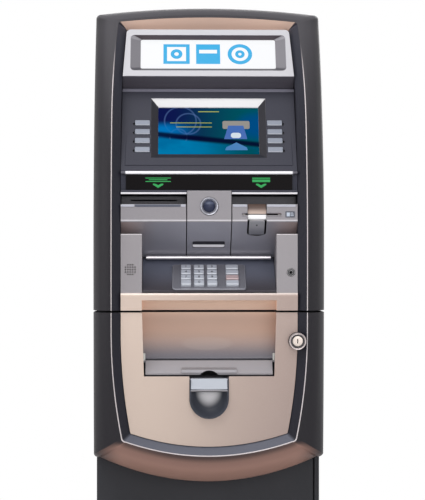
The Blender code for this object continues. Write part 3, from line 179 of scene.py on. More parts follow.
def made_plain(thing, **layers):
    """The object with its modifiers turned into plain mesh."""
    bpy.context.view_layer.update()
    reader = bpy.context.evaluated_depsgraph_get()
    made = bpy.data.meshes.new_from_object(thing.evaluated_get(reader), depsgraph=reader, **layers)
    thing.modifiers.clear()
    thing.data = made
    return thing


def settle(thing, node, stands_for=True):
    """Applies the modifiers, then fixes the piece to the body of a node that it stands for."""
    made_plain(thing, preserve_all_data_layers=True)
    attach(thing, body_of[node])
    if stands_for:
        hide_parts(node)
    return thing


def solid(name, bm, *finishes):
    """A bmesh as an object with its faces turned outwards."""
    bmesh.ops.remove_doubles(bm, verts=bm.verts, dist=1e-7)
    bmesh.ops.recalc_face_normals(bm, faces=bm.faces)
    mesh = bpy.data.meshes.new(name)
    bm.to_mesh(mesh)
    bm.free()
    thing = bpy.data.objects.new(name, mesh)
    for finish in finishes:
        mesh.materials.append(finish)
    bpy.context.scene.collection.objects.link(thing)
    return thing


def soften(thing, width, segments=2, edge=None, smooth=35):
    """Rounds the edges and shades the faces smooth. The rounded edges may have a lighter finish of their own:
    a painted highlight.
    """
    for polygon in thing.data.polygons:
        polygon.use_smooth = True
    thing.data.set_sharp_from_angle(angle=math.radians(smooth))
    if width:
        bevel = thing.modifiers.new("rounded edges", "BEVEL")
        bevel.width = width
        bevel.segments = segments
        bevel.limit_method = "ANGLE"
        bevel.angle_limit = math.radians(smooth)
        if edge:
            thing.data.materials.append(edge)
            bevel.material = len(thing.data.materials) - 1
    thing.modifiers.new("weighted shading", "WEIGHTED_NORMAL").keep_sharp = not width
    return thing


def eased(node, finish, width, edge=None, segments=2):
    """A copy of a plain solid with its edges rounded, which stands for it."""
    bm = bmesh.new()
    bm.from_mesh(frame["nodes"][node].data)
    bmesh.ops.remove_doubles(bm, verts=bm.verts, dist=2e-6)
    bmesh.ops.dissolve_limit(bm, angle_limit=math.radians(0.3), verts=bm.verts, edges=bm.edges)
    thing = solid(f"{node}_finished", bm, finish)
    soften(thing, width, segments, edge)
    return settle(thing, node)


cabinet_coat = powder_coat("cabinet_coat", tone(40, 40, 43), tone(62, 62, 66))
# A lighter copy of the coat for the rounded edges: a painted highlight.
coat_edge_highlight = powder_coat("cabinet_coat_edge_highlight", tone(66, 66, 70), tone(92, 92, 96))
eased("vault_cabinet", cabinet_coat, 0.0012, coat_edge_highlight)


# --- Vault door with its furniture
# A thick steel plate that turns on two pins at the left. The handle throws three bolts behind the
# jamb by a sliding bar, and the combination dial stands beside it. The furniture is zinc plated.

def plated(name, dark, light, roughness):
    """Zinc or nickel plate with the fine draw lines of the sheet under it."""
    plate = Finish(name)
    drawn = plate.grain(90, 3, (1.0, 1.0, 26.0))
    bloom = plate.grain(14, 3)
    colour = plate.blend(drawn * 0.5 + bloom * 0.5, dark, light)
    return plate.surface(colour, drawn * 0.18 + roughness, 0.85, plate.dents(drawn, 0.00006))


def turned(name, x, z, profile, *finishes, sides=64, bands=None):
    """A part turned about an axis along Y, through points (radius, y)."""
    bm = bmesh.new()
    rings = []
    for radius, y in profile:
        turns = [2 * math.pi * i / sides for i in range(sides)]
        rings.append([bm.verts.new((x + radius * math.cos(t), y, z + radius * math.sin(t))) for t in turns])
    for step, (ring, following) in enumerate(zip(rings, rings[1:])):
        for i in range(sides):
            j = (i + 1) % sides
            face = bm.faces.new((ring[i], ring[j], following[j], following[i]))
            face.material_index = bands[step] if bands else 0
    return solid(name, bm, *finishes)


zinc = plated("zinc_plate", tone(150, 150, 146), tone(196, 196, 192), 0.26)
# A darker copy of the zinc plate for the parts inside the machine: painted shade.
zinc_dark = plated("zinc_in_shade", tone(105, 105, 104), tone(150, 150, 148), 0.34)
eased("vault_door", cabinet_coat, 0.0010, coat_edge_highlight)
eased("locking_bolts", zinc, 0.0008)
eased("vault_handle", zinc, 0.0015, segments=3)


DIAL_X, DIAL_Z = 0.070, 0.660


def dial_finish():
    """Black enamel with a hundred white division lines round its rim."""
    dial = Finish("dial_enamel")
    x, z = dial.along("X") - DIAL_X, dial.along("Z") - DIAL_Z
    reach = (x * x + z * z) ** 0.5
    turn = z.sum("ARCTAN2", z, x) * (100 / (2 * math.pi))
    line = 1 - (turn.sum("FRACT", turn) - 0.5).size().rise(0.06, 0.14)
    rim = reach.rise(0.0235, 0.0240) * (1 - reach.rise(0.0292, 0.0297))
    mark = line * rim
    grit = dial.grain(1200, 1)
    colour = dial.blend(mark, tone(22, 22, 24), tone(235, 235, 228))
    return dial.surface(colour, 0.28 + grit * 0.08, 0.0, dial.dents(grit, 0.00003))


dial_profile = ((0, -0.2000), (0.0125, -0.2000), (0.0140, -0.1985), (0.0140, -0.1840), (0.0165, -0.1822),
                (0.0300, -0.1818), (0.0320, -0.1800), (0.0320, -0.1712), (0.0312, -0.1704),
                (0.0080, -0.1704), (0.0080, -0.1570), (0, -0.1570))
settle(soften(turned("combination_dial_finished", DIAL_X, DIAL_Z, dial_profile, dial_finish(), sides=72), 0),
       "combination_dial")


# --- Head cabinet
# A folded sheet-metal hood on top of the vault, in the same powder coat. Its back is a cover with
# louvres, held by eight round-headed screws.

def round_grid_tree():
    """Round heads, or round holes to be cut, in a grid that is turned and moved to where it belongs."""
    tree = bpy.data.node_groups.new("round_grid", "GeometryNodeTree")
    kinds = {"Across": "Float", "Up": "Float", "Columns": "Int", "Rows": "Int", "Radius": "Float",
             "Top": "Float", "Height": "Float", "Reach": "Float", "Place": "Vector", "Turn": "Vector",
             "Finish": "Material"}
    for label, kind in kinds.items():
        tree.interface.new_socket(label, in_out="INPUT", socket_type=f"NodeSocket{kind}")
    tree.interface.new_socket("Geometry", in_out="OUTPUT", socket_type="NodeSocketGeometry")
    entry = tree.nodes.new("NodeGroupInput").outputs

    def step(kind, links, out=0, **settings):
        node = tree.nodes.new(kind)
        for key, value in settings.items():
            setattr(node, key, value)
        for key, value in links.items():
            if isinstance(value, bpy.types.NodeSocket):
                tree.links.new(value, node.inputs[key])
            else:
                node.inputs[key].default_value = value
        return node.outputs[out]

    grid = step("GeometryNodeMeshGrid", {"Size X": entry["Across"], "Size Y": entry["Up"],
                                         "Vertices X": entry["Columns"], "Vertices Y": entry["Rows"]})
    away = step("ShaderNodeVectorMath", {0: step("GeometryNodeInputPosition", {})}, "Value", operation="LENGTH")
    far = step("FunctionNodeCompare", {0: away, 1: entry["Reach"]}, operation="GREATER_THAN")
    kept = step("GeometryNodeDeleteGeometry", {"Geometry": grid, "Selection": far})
    head = step("GeometryNodeMeshCone", {"Vertices": 16, "Side Segments": 1, "Fill Segments": 1,
                                         "Radius Top": entry["Top"], "Radius Bottom": entry["Radius"],
                                         "Depth": entry["Height"]})
    heads = step("GeometryNodeInstanceOnPoints", {"Points": kept, "Instance": head})
    moved = step("GeometryNodeTransform", {"Geometry": heads, "Translation": entry["Place"],
                                           "Rotation": entry["Turn"]})
    real = step("GeometryNodeRealizeInstances", {"Geometry": moved})
    coated = step("GeometryNodeSetMaterial", {"Geometry": real, "Material": entry["Finish"]})
    exit_node = tree.nodes.new("NodeGroupOutput")
    tree.links.new(coated, exit_node.inputs["Geometry"])
    return tree


round_grid = round_grid_tree()


def round_rows(name, **sizes):
    """Screw heads or holes in rows, from the tree."""
    thing = bpy.data.objects.new(name, bpy.data.meshes.new(name))
    bpy.context.scene.collection.objects.link(thing)
    change = thing.modifiers.new("rows", "NODES")
    change.node_group = round_grid
    for item in round_grid.interface.items_tree:
        if item.in_out == "INPUT":
            change[item.identifier] = sizes[item.name]
    return made_plain(thing)


eased("head_cabinet", cabinet_coat, 0.0010, coat_edge_highlight)
cover_screws = round_rows("back_cover_screws", Across=0.372, Up=0.500, Columns=2, Rows=4, Radius=0.0040,
                          Top=0.0022, Height=0.0012, Reach=9.0, Place=(0.0, 0.2887, 1.128),
                          Turn=(-math.pi / 2, 0.0, 0.0), Finish=zinc)
settle(cover_screws, "head_cabinet", stands_for=False)


# --- Inside the machine
# The mains inlet, the receipt printer with its paper, the control box, and in the vault the note
# dispenser with its locked cassette. Sheet parts are zinc plated, and the cassette is moulded black.

def moulded(name, dark, light, roughness):
    """Injection-moulded plastic with a fine spark texture."""
    plastic = Finish(name)
    spark = plastic.grain(2200, 2)
    flow = plastic.grain(18, 2)
    colour = plastic.blend(spark * 0.5 + flow * 0.5, dark, light)
    return plastic.surface(colour, spark * 0.16 + roughness, 0.0, plastic.dents(spark, 0.00012),
                           {"Specular IOR Level": 0.4})


ROLL_Y, ROLL_Z = 0.050, 0.9415


def paper_finish():
    """White thermal paper, wound: thin rings show on the ends."""
    paper = Finish("wound_paper")
    y, z = paper.along("Y") - ROLL_Y, paper.along("Z") - ROLL_Z
    rings = y.sum("SINE", ((y * y + z * z) ** 0.5) * 9000) * 0.5 + 0.5
    end = paper.tilt("X").size().rise(0.7, 0.9)
    colour = paper.blend(rings * end, tone(240, 238, 232), tone(205, 202, 194))
    return paper.surface(colour, 0.72, 0.0, paper.dents(paper.grain(700, 2), 0.00005))


black_plastic = moulded("black_plastic", tone(26, 26, 28), tone(44, 44, 47), 0.42)
grey_plastic = moulded("grey_plastic", tone(60, 61, 64), tone(80, 81, 84), 0.46)
eased("power_inlet", black_plastic, 0.0006)
eased("receipt_printer", grey_plastic, 0.0008)
eased("paper_roll", paper_finish(), 0.0004)
eased("control_unit", zinc_dark, 0.0012)
eased("dispenser_module", zinc_dark, 0.0015)
eased("cash_cassette", black_plastic, 0.0020, segments=3)
case_screws = round_rows("cassette_screws", Across=0.176, Up=0.150, Columns=2, Rows=2, Radius=0.0035,
                         Top=0.0020, Height=0.0016, Reach=9.0, Place=(0.0, -0.1368, 0.3900),
                         Turn=(math.pi / 2, 0.0, 0.0), Finish=zinc)
settle(case_screws, "cash_cassette", stands_for=False)


# --- Upper fascia frame
# A deep moulded frame in dark metallic paint. Its sides slope back from a narrow ridge with a painted
# highlight along it, and it leans back towards the top. It hangs on two lift-off hinges at the left, with
# eyes moulded inside.

FRONT, AHEAD = -0.290, -0.30
SPLIT = 0.865
VAULT_TOP = 0.8615
HALF_WIDTH = 0.202
HINGE_X, HINGE_RADIUS = -0.190, 0.012
SEAM = 0.0004


def ridge_y(z):
    """How the ridge runs from the belly up, leaning back above the keypad."""
    above = z - 0.977
    if above > 0:
        radius = (0.414**2 + 0.1325**2) / 0.265
        return FRONT + radius - math.sqrt(radius**2 - above**2)
    return FRONT + above**2 / 6


def ridge_half(z):
    return 0.170 - 0.263 * max(0.0, z - SPLIT - 0.335) ** 2 - 0.53 * max(0.0, VAULT_TOP - 0.035 - z) ** 2


def inner_half(z):
    return ridge_half(z) - 0.016


def outer_half(z):
    return HALF_WIDTH


def arch(half_width, start, corner, apex, radius, sides=52, turns=10, tops=30):
    """Points (x, z) up one side, round the corner and along to the middle, then the same mirrored."""
    turn = math.copysign(radius, corner - start)
    side_end = corner - turn
    corner_x = half_width(side_end) - radius
    points = []
    for i in range(sides):
        z = start + (side_end - start) * i / sides
        points.append((-half_width(z), z))
    for i in range(turns):
        angle = 0.5 * math.pi * i / turns
        points.append((-corner_x - radius * math.cos(angle), side_end + turn * math.sin(angle)))
    for i in range(tops):
        x = corner_x * (1 - i / tops)
        points.append((-x, corner + (apex - corner) * (1 - (x / corner_x) ** 2)))
    return points + [(0.0, apex)] + [(-x, z) for x, z in reversed(points)]


def through(points, steps):
    """A smooth curve through points in a plane."""
    ends = [points[0]] + list(points) + [points[-1]]
    curve = []
    for a, b, c, d in zip(ends, ends[1:], ends[2:], ends[3:]):
        for i in range(steps):
            t = i / steps
            curve.append(tuple(0.5 * (2 * q + (r - p) * t + (2 * p - 5 * q + 4 * r - s) * t**2
                                      + (3 * q - p - 3 * r + s) * t**3) for p, q, r, s in zip(a, b, c, d)))
    return curve + [points[-1]]


def frame_section(width, drop):
    """Half-section of the frame as (share across, y behind the ridge, finish of the strip after it)."""
    slope = through([(0.0, drop), (0.12, 0.65 * drop), (0.40, 0.27 * drop), (0.75, 0.07 * drop),
                     (0.982, 0.0002)], 5)
    return [*((share, y, 0) for share, y in slope[:-1]),
            (0.982, 0.0002, 1), (1.0, 0.0, 1), (1.03, 0.0002, 1), (1.06, 0.0007, 2),
            (1.5, 0.0070, 2), (1.97, 0.0134, 2), (2.0, 0.0142, 2), (2.0, 0.034, 2), (1.75, 0.034, 0),
            (1.75, 0.016, 0), (1.02, 0.0056, 0), (0.75, 0.07 * drop + 0.0056, 0),
            (0.42, 0.27 * drop + 0.006, 0), (0.004 / width, drop + 0.0012, 0)]


def frame_shell(name, contours, drops, back, axis_y, *finishes):
    """The frame as a closed shell, with its rear-left edge rounded about the hinge axis."""
    rings, strips = [], []
    for outer, ridge, inner, drop in zip(*contours, drops):
        top = ridge_y(ridge[1])
        width = math.dist(outer, ridge)
        section = [(0.0, back - top, 0)] + frame_section(width, drop) + [(0.004 / width, back - top, 0)]
        ring = []
        for share, behind, _ in section:
            near, far, part = (outer, ridge, share) if share <= 1 else (ridge, inner, share - 1)
            x, z = (a + (b - a) * part for a, b in zip(near, far))
            y = top + behind
            if x < HINGE_X and y > axis_y:
                y = min(y, axis_y + math.sqrt(max(0.0, HINGE_RADIUS**2 - (x - HINGE_X) ** 2)))
            ring.append((x, y, z))
        rings.append(ring)
        strips = [number for _, _, number in section]
    return loft(name, rings, *finishes, bands=strips)


def carve(target, operation, *others):
    """Cuts the others out of the target, or joins them to it, and removes them."""
    for other in others:
        change = target.modifiers.new("join or cut", "BOOLEAN")
        change.operation, change.solver, change.object = operation, "EXACT", other
        change.material_mode = "TRANSFER"
    made_plain(target)
    for other in others:
        bpy.data.objects.remove(other)
    return target


def loft(name, rings, *finishes, bands=None):
    """A solid through rings of equally many points. Bands give the finish of each strip between them."""
    bm = bmesh.new()
    rows = [[bm.verts.new(point) for point in ring] for ring in rings]
    for row, following in zip(rows, rows[1:]):
        for i in range(len(row)):
            j = (i + 1) % len(row)
            face = bm.faces.new((row[i], row[j], following[j], following[i]))
            face.material_index = bands[i] if bands else 0
    bm.faces.new(rows[0])
    bm.faces.new(rows[-1])
    return solid(name, bm, *finishes)


def block(name, low, high, *finishes):
    corners = ((0, 0), (1, 0), (1, 1), (0, 1))
    rings = [[((low, high)[i][0], (low, high)[j][1], z) for i, j in corners] for z in (low[2], high[2])]
    return loft(name, rings, *finishes)


def post(name, start, end, radius, *finishes, sides=40):
    """A round bar between two points."""
    start, end = Vector(start), Vector(end)
    along = (end - start).normalized()
    aside = along.orthogonal().normalized()
    over = along.cross(aside)
    turns = [2 * math.pi * i / sides for i in range(sides)]
    ring = [radius * (math.cos(t) * aside + math.sin(t) * over) for t in turns]
    return loft(name, [[centre + offset for offset in ring] for centre in (start, end)], *finishes)


def flake_paint(name, level, down, up, roughness, metallic, coat=0.15, glint_share=0.10, gleam=0.25, corner=None):
    """Metallic paint with painted light: the colour shifts to a painted reflection where the surface turns
    down or up, and a few flakes carry painted glints.
    """
    paint = Finish(name)
    flake = paint.grain(3000, 1)
    haze = paint.grain(8, 2)
    tilt = paint.tilt()
    # Painted reflection: the down colour where the surface faces down, less towards the corners, and the up colour
    # where it faces up.
    reflection_below = (0.0 - tilt).rise(0.15, 0.65)
    if corner:
        reflection_below = reflection_below * (1 - paint.along("X").size().rise(*corner))
    colour = paint.blend(reflection_below, level, down)
    colour = paint.blend(tilt.rise(0.15, 0.75), colour, up)
    colour = paint.blend(flake.glints() * glint_share, colour, tone(255, 250, 245))
    rough = haze * 0.08 + flake * 0.06 + (roughness - 0.07)
    return paint.surface(colour, rough, metallic, paint.dents(flake, 0.00003),
                         {"Coat Weight": coat, "Coat Roughness": 0.12, "Specular IOR Level": gleam})


def ridge_finish():
    """A painted highlight along the ridge, where its rounded edge catches the light. The plain paint takes
    over again towards the top.
    """
    paint = Finish("ridge_highlight")
    flake = paint.grain(3000, 1)
    z = paint.along("Z")
    colour = paint.blend(flake * 0.3, tone(206, 197, 197), tone(232, 224, 224))
    colour = paint.blend(z.rise(1.26, 1.345), colour, tone(70, 68, 72))
    return paint.surface(colour, 0.32 + flake * 0.06, 0.1, paint.dents(flake, 0.00002))


# Graphite: a brown painted reflection where it turns down and a lighter painted highlight where it turns up. The inner
# slope is dark where level, with a pale warm painted reflection where it turns down.
graphite = flake_paint("graphite_paint", tone(43, 41, 45), tone(162, 126, 113), tone(82, 80, 84), 0.42, 0.0, 0.0,
                       0.03, 0.12, (0.150, 0.206))
ridge_highlight = ridge_finish()
inner_slope = flake_paint("inner_slope", tone(34, 34, 43), tone(238, 204, 185), tone(100, 102, 113), 0.42, 0.0, 0.0,
                          0.03, 0.12)

UPPER_BACK, UPPER_AXIS = -0.1065, -0.1185
upper_ways = (arch(outer_half, SPLIT, 1.398, 1.410, 0.009), arch(ridge_half, SPLIT, 1.382, 1.391, 0.007),
              arch(inner_half, SPLIT, 1.3674, 1.3674, 0.001))
upper_drops = [min(0.040, 0.6 * (UPPER_BACK - ridge_y(z))) for _, z in upper_ways[1]]
upper_frame = frame_shell("upper_frame", upper_ways, upper_drops, UPPER_BACK, UPPER_AXIS,
                          graphite, ridge_highlight, inner_slope)


def hinge_eyes(thing, axis_y, levels, finish):
    """Adds the hinge eyes and clears the wall beside each hinge leaf."""
    for level in levels:
        low, high = level + 0.0044, level + 0.0104
        eye = post("eye", (HINGE_X, axis_y, low), (HINGE_X, axis_y, high), 0.0065, finish)
        arm = block("arm", (HINGE_X - 0.010, axis_y - 0.014, low), (HINGE_X, axis_y - 0.0035, high), finish)
        hole = post("hole", (HINGE_X, axis_y, low - 0.001), (HINGE_X, axis_y, high + 0.001), 0.0034, finish)
        notch = block("notch", (HINGE_X - 0.013, axis_y - 0.0078, level - 0.002),
                      (HINGE_X, axis_y + 0.015, level + 0.004), finish)
        carve(thing, "DIFFERENCE", notch)
        carve(thing, "UNION", arm, eye)
        carve(thing, "DIFFERENCE", hole)
    return thing


hinge_eyes(upper_frame, UPPER_AXIS, (0.925, 1.305), graphite)
settle(soften(upper_frame, 0, smooth=32), "upper_bezel")


# --- Lit sign
# A white moulded box at the top of the fascia, with a sloping recess and a translucent lit panel at
# its bottom. Three plain pictograms are printed on the panel: a note, a card and a coin.

def lean_frame(foot, head):
    """A sloping face: X across, Y up the slope and Z out of it. Foot and head are (y, z)."""
    up = Vector((0, head[0] - foot[0], head[1] - foot[1])).normalized()
    out = Vector((1, 0, 0)).cross(up)
    matrix = Matrix((Vector((1, 0, 0)), up, out)).transposed().to_4x4()
    matrix.translation = (0, *foot)
    return matrix


def rounded(width, height, radius, centre=(0.0, 0.0), steps=7):
    """A rectangle with round corners."""
    points = []
    for k, (sx, sy) in enumerate(((1, 1), (-1, 1), (-1, -1), (1, -1))):
        for i in range(steps + 1):
            angle = 0.5 * math.pi * (k + i / steps)
            points.append((centre[0] + sx * (width / 2 - radius) + radius * math.cos(angle),
                           centre[1] + sy * (height / 2 - radius) + radius * math.sin(angle)))
    return points


def round_headed(foot, head, radius):
    """An outline with round upper corners. Foot and head are (half width, height)."""
    points = [foot]
    for i in range(9):
        angle = 0.5 * math.pi * i / 8
        points.append((head[0] - radius + radius * math.cos(angle), head[1] - radius + radius * math.sin(angle)))
    return points + [(-u, v) for u, v in reversed(points)]


def raised(name, matrix, levels, *finishes):
    """A solid on a sloping face through outlines, each with its height above the face."""
    rings = [[matrix @ Vector((u, v, height)) for u, v in outline] for outline, height in levels]
    return loft(name, rings, *finishes)


def prisms(name, matrix, outlines, low, high, finish):
    """Solids on a sloping face, all of one height: prints, or holes to be cut."""
    bm = bmesh.new()
    for outline in outlines:
        rows = [[bm.verts.new(matrix @ Vector((u, v, height))) for u, v in outline] for height in (low, high)]
        for i in range(len(outline)):
            j = (i + 1) % len(outline)
            bm.faces.new((rows[0][i], rows[0][j], rows[1][j], rows[1][i]))
        bm.faces.new(rows[0])
        bm.faces.new(rows[1])
    return solid(name, bm, finish)


def marks(name, matrix, outlines, low, high, finish, node):
    """Thin printed marks of one colour on a face."""
    settle(prisms(name, matrix, outlines, low, high, finish), node, stands_for=False)


def upright(name, outline, front, back, *finishes):
    """A prism through the fascia from an (x, z) outline."""
    return loft(name, [[(x, y, z) for x, z in outline] for y in (front, back)], *finishes)


def across(name, profile, reach, *finishes):
    """A side profile of (y, z, finish number) carried across the machine to a reach on each side."""
    rings = []
    for side in (-1, 1):
        rings.append([(side * reach(z) if callable(reach) else reach[side > 0], y, z)
                      for y, z, *_ in profile])
    return loft(name, rings, *finishes, bands=[point[2] if len(point) > 2 else 0 for point in profile])


def panel_half(z):
    return inner_half(z) - SEAM


def glow(name, colour, strength):
    """A lit or luminous print: the lamp behind gives part of the colour, and the room the rest."""
    lit = Finish(name)
    cloud = lit.grain(30, 2)
    shade = lit.blend(cloud * 0.04, colour, tone(255, 255, 255))
    return lit.surface(lit.blend(strength, shade, tone(0, 0, 0)), 0.4, 0.0, None,
                       {"Emission Color": shade, "Emission Strength": strength, "Specular IOR Level": 0.2})


def plastic_with_painted_light(name, level, down, up, roughness=0.4, turning=(0.2, 0.6)):
    """Plain plastic with painted light and shade: its colour changes where the surface is level, turns down
    and turns up.
    """
    plastic = Finish(name)
    spark = plastic.grain(1800, 1)
    tilt = plastic.tilt()
    colour = plastic.blend((0.0 - tilt).rise(*turning), level, down)
    colour = plastic.blend(tilt.rise(0.2, 0.7), colour, up)
    colour = plastic.blend(spark * 0.05, colour, tone(120, 118, 122))
    return plastic.surface(colour, spark * 0.08 + roughness, 0.0, plastic.dents(spark, 0.00004),
                           {"Specular IOR Level": 0.2})


SIGN_FOOT, SIGN_HEAD, SIGN_LEAN = 1.278, 1.367, 0.050
sign_y = ridge_y(SIGN_FOOT) + 0.008
sign_face = lean_frame((sign_y, SIGN_FOOT), (sign_y + SIGN_LEAN, SIGN_HEAD))
sign_tall = math.hypot(SIGN_LEAN, SIGN_HEAD - SIGN_FOOT)
# The sign box is painted lighter where it turns up and darker where it turns down, and the hollow is painted dark where
# its bevels face up or down: painted light and shade.
sign_white = plastic_with_painted_light("sign_white", tone(184, 181, 187), tone(148, 142, 148), tone(210, 209, 212), 0.38)
sign_hollow = plastic_with_painted_light("sign_hollow", tone(154, 151, 156), tone(84, 74, 80), tone(84, 82, 88), 0.4)
sign_mid = sign_tall / 2
sign_outline = round_headed((panel_half(SIGN_FOOT) - 0.0002, 0.0), (panel_half(SIGN_HEAD), sign_tall), 0.008)
sign_box = raised("sign_box", sign_face, [(sign_outline, -0.040), (sign_outline, -0.0002)], sign_white)
lit_centre = (0, sign_mid + 0.0035)
sign_mouth = raised("sign_mouth", sign_face, [
    (rounded(0.242, 0.0635, 0.0035, lit_centre), -0.020),
    (rounded(0.242, 0.0635, 0.0035, lit_centre), -0.0095),
    (rounded(0.277, 0.0770, 0.0075, (0, sign_mid)), -0.0010), (rounded(0.278, 0.0780, 0.0075, (0, sign_mid)), 0.01),
], sign_hollow)
carve(sign_box, "DIFFERENCE", sign_mouth)
settle(soften(sign_box, 0.0012, 3, smooth=30), "sign_housing")
# A dark grey sill under the sign box: painted shade on the face that turns down under it.
sill_in_shade = plastic_with_painted_light("sill_in_shade", tone(100, 96, 105), tone(92, 88, 96), tone(112, 108, 118))
sill = across("sign_sill", [(sign_y + 0.0006, SIGN_FOOT - 0.0004), (-0.184, 1.2589), (-0.172, 1.2589),
                            (sign_y + 0.036, SIGN_FOOT - 0.0004)], panel_half, sill_in_shade)
settle(soften(sill, 0.0006), "sign_housing", stands_for=False)
lit_plate = raised("sign_plate", sign_face, [
    (rounded(0.2412, 0.0627, 0.0032, lit_centre), height) for height in (-0.0196, -0.0095)],
    glow("sign_light", tone(243, 244, 246), 0.75))
settle(soften(lit_plate, 0.0004), "sign_panel")


def ring_outline(centre, outer, inner, steps=40):
    """A flat ring, cut open by a hairline."""
    turns = [2 * math.pi * i / steps * 0.998 for i in range(steps + 1)]
    near, far = ([(centre[0] + radius * math.cos(t), centre[1] + radius * math.sin(t)) for t in turns]
                 for radius in (outer, inner))
    return near + far[::-1]


def strip(low, high):
    return [(low[0], low[1]), (high[0], low[1]), (high[0], high[1]), (low[0], high[1])]


note_shapes = [strip((-0.080, 0.0330), (-0.0735, 0.0760)), strip((-0.0395, 0.0330), (-0.033, 0.0760)),
               strip((-0.0734, 0.0330), (-0.0396, 0.0390)), strip((-0.0734, 0.0700), (-0.0396, 0.0760)),
               ring_outline((-0.0565, 0.0545), 0.0105, 0.0040)]
card_shapes = [strip((-0.0215, 0.0330), (0.0215, 0.0560)), strip((-0.0215, 0.0640), (0.0215, 0.0760)),
               strip((-0.0215, 0.0562), (-0.0160, 0.0638)), strip((0.0160, 0.0562), (0.0215, 0.0638))]
coin_shapes = [ring_outline((0.0570, 0.0545), 0.0220, 0.0150), ring_outline((0.0570, 0.0545), 0.0085, 0.0030)]
marks("sign_pictograms", sign_face, note_shapes + card_shapes + coin_shapes, -0.0097, -0.0093,
      glow("sign_blue", tone(36, 168, 222), 0.6), "sign_panel")


# --- Screen surround
# A sloping moulding in slate metallic paint, with a raised plate, a sunk screen window and a round
# lip over the gloss strip, painted near-white as a highlight. The window's walls are bevelled.

# The slate shifts a little with the facing, as painted light. The lighter edge paint on the top lip and the near-white
# paint of the lower lip are painted highlights.
slate = flake_paint("slate_paint", tone(52, 53, 64), tone(54, 52, 58), tone(62, 62, 72), 0.50, 0.0, 0.0, 0.03, 0.15)
slate_edge_highlight = flake_paint("slate_paint_edge_highlight", tone(128, 126, 138), tone(96, 94, 102), tone(150, 148, 164), 0.36, 0.1)
lip_highlight = flake_paint("lip_highlight", tone(250, 247, 250), tone(236, 231, 235), tone(252, 250, 253), 0.25, 0.0)


def nose_finish():
    """The round nose over the strip: a near-white painted highlight along the strip, plain slate at its two ends."""
    paint = Finish("strip_nose_highlight")
    flake = paint.grain(3000, 1)
    ends = paint.along("X").size().rise(0.1440, 0.1470)
    colour = paint.blend(ends, tone(253, 251, 254), tone(78, 76, 86))
    return paint.surface(colour, 0.25 + flake * 0.05, 0.0, paint.dents(flake, 0.00002), {"Coat Weight": 0.3})


strip_nose_highlight = nose_finish()
# The window walls are dark, and near-white where they turn down: a painted reflection on the top bevel.
window_wall_and_reflection = plastic_with_painted_light("window_wall_and_reflection", tone(42, 40, 45), tone(253, 251, 250), tone(32, 34, 42), 0.5, (-0.10, 0.02))
screen_face = lean_frame((-0.263, 1.112), (-0.184, 1.2585))
screen_tall = math.hypot(0.079, 0.1465)


def arc(centre, radius, start, end, steps, number=0):
    """Points round an arc in a side profile, with the finish number of the strips between them."""
    turns = [math.radians(start + (end - start) * i / steps) for i in range(steps + 1)]
    return [(centre[0] + radius * math.cos(t), centre[1] + radius * math.sin(t), number) for t in turns]


rear_foot = (screen_face @ Vector((0, 0.004, -0.010))).yz
rear_head = (screen_face @ Vector((0, screen_tall, -0.010))).yz
surround_profile = [
    (-0.1850, 1.2585, 1), (-0.1862, 1.2580, 1), (-0.1885, 1.2548, 1), (-0.1898, 1.2524, 0),
    (-0.2622, 1.1130, 0), (-0.2650, 1.1086, 0), *arc((-0.2676, 1.1045), 0.0028, 95, 240, 10, 3),
    (-0.2688, 1.1019, 0), (-0.2660, 1.1015, 0), (-0.2660, 1.0745, 0), (-0.2694, 1.0742, 0),
    (-0.2722, 1.0712, 0), (-0.2727, 1.0700, 2), (-0.2730, 1.0688, 2), (-0.2727, 1.0677, 2),
    (-0.2720, 1.0670, 0), (-0.2360, 1.0660, 0), (-0.2360, 1.0710, 0), (-0.2560, 1.0750, 0),
    (-0.2560, 1.1015, 0), (*rear_foot, 0), (*rear_head, 0)]
screen_surround = across("screen_surround", surround_profile, panel_half, slate, slate_edge_highlight, lip_highlight, strip_nose_highlight)
plate_outline = round_headed((0.1470, 0.006), (0.1440, 0.1615), 0.006)
inset = [(u * 0.9925, 0.0068 + (v - 0.006) * 0.990) for u, v in plate_outline]
carve(screen_surround, "UNION", raised("raised_plate", screen_face, [
    (plate_outline, -0.002), (plate_outline, 0.0004), (inset, 0.0010)], slate))
WINDOW_WIDTH, WINDOW_HEIGHT = 0.178, 0.098
window_mid = 0.083
window_outline = rounded(WINDOW_WIDTH, WINDOW_HEIGHT, 0.0006, (0, window_mid), 2)
window = raised("window", screen_face, [
    (window_outline, -0.020), (window_outline, -0.0078),
    (rounded(0.2028, 0.1228, 0.0006, (0, window_mid), 2), 0.0002),
    (rounded(0.2050, 0.1250, 0.0006, (0, window_mid), 2), 0.01)], window_wall_and_reflection)
carve(screen_surround, "DIFFERENCE", window)
key_gap = plastic_with_painted_light("key_gap", tone(16, 15, 18), tone(12, 12, 14), tone(24, 23, 28))
key_places = [(side, 4 - row, x, 0.0376 + 0.0184 * row) for side, x in (("left", -0.1167), ("right", 0.1167))
              for row in range(4)]
key_holes = [rounded(0.0278, 0.0118, 0.0012, (x, v), 3) for _, _, x, v in key_places]
key_pockets = [rounded(0.0280, 0.0052, 0.0024, (x + math.copysign(0.0028, x), v - 0.0020), 3)
               for _, _, x, v in key_places]
carve(screen_surround, "DIFFERENCE", prisms("key_holes", screen_face, key_holes, -0.02, 0.01, key_gap))
carve(screen_surround, "DIFFERENCE", prisms("key_pockets", screen_face, key_pockets, -0.0016, 0.01, key_gap))
carve(screen_surround, "DIFFERENCE", block("bridge_room", (-0.0394, AHEAD, 1.055), (0.0394, -0.2581, 1.0735), slate))
settle(soften(screen_surround, 0.0004, 2, smooth=28), "monitor_panel")


# --- Function keys
# Eight keys beside the screen, moulded and then metallised bright silver. Each has bevelled edges round
# its top.

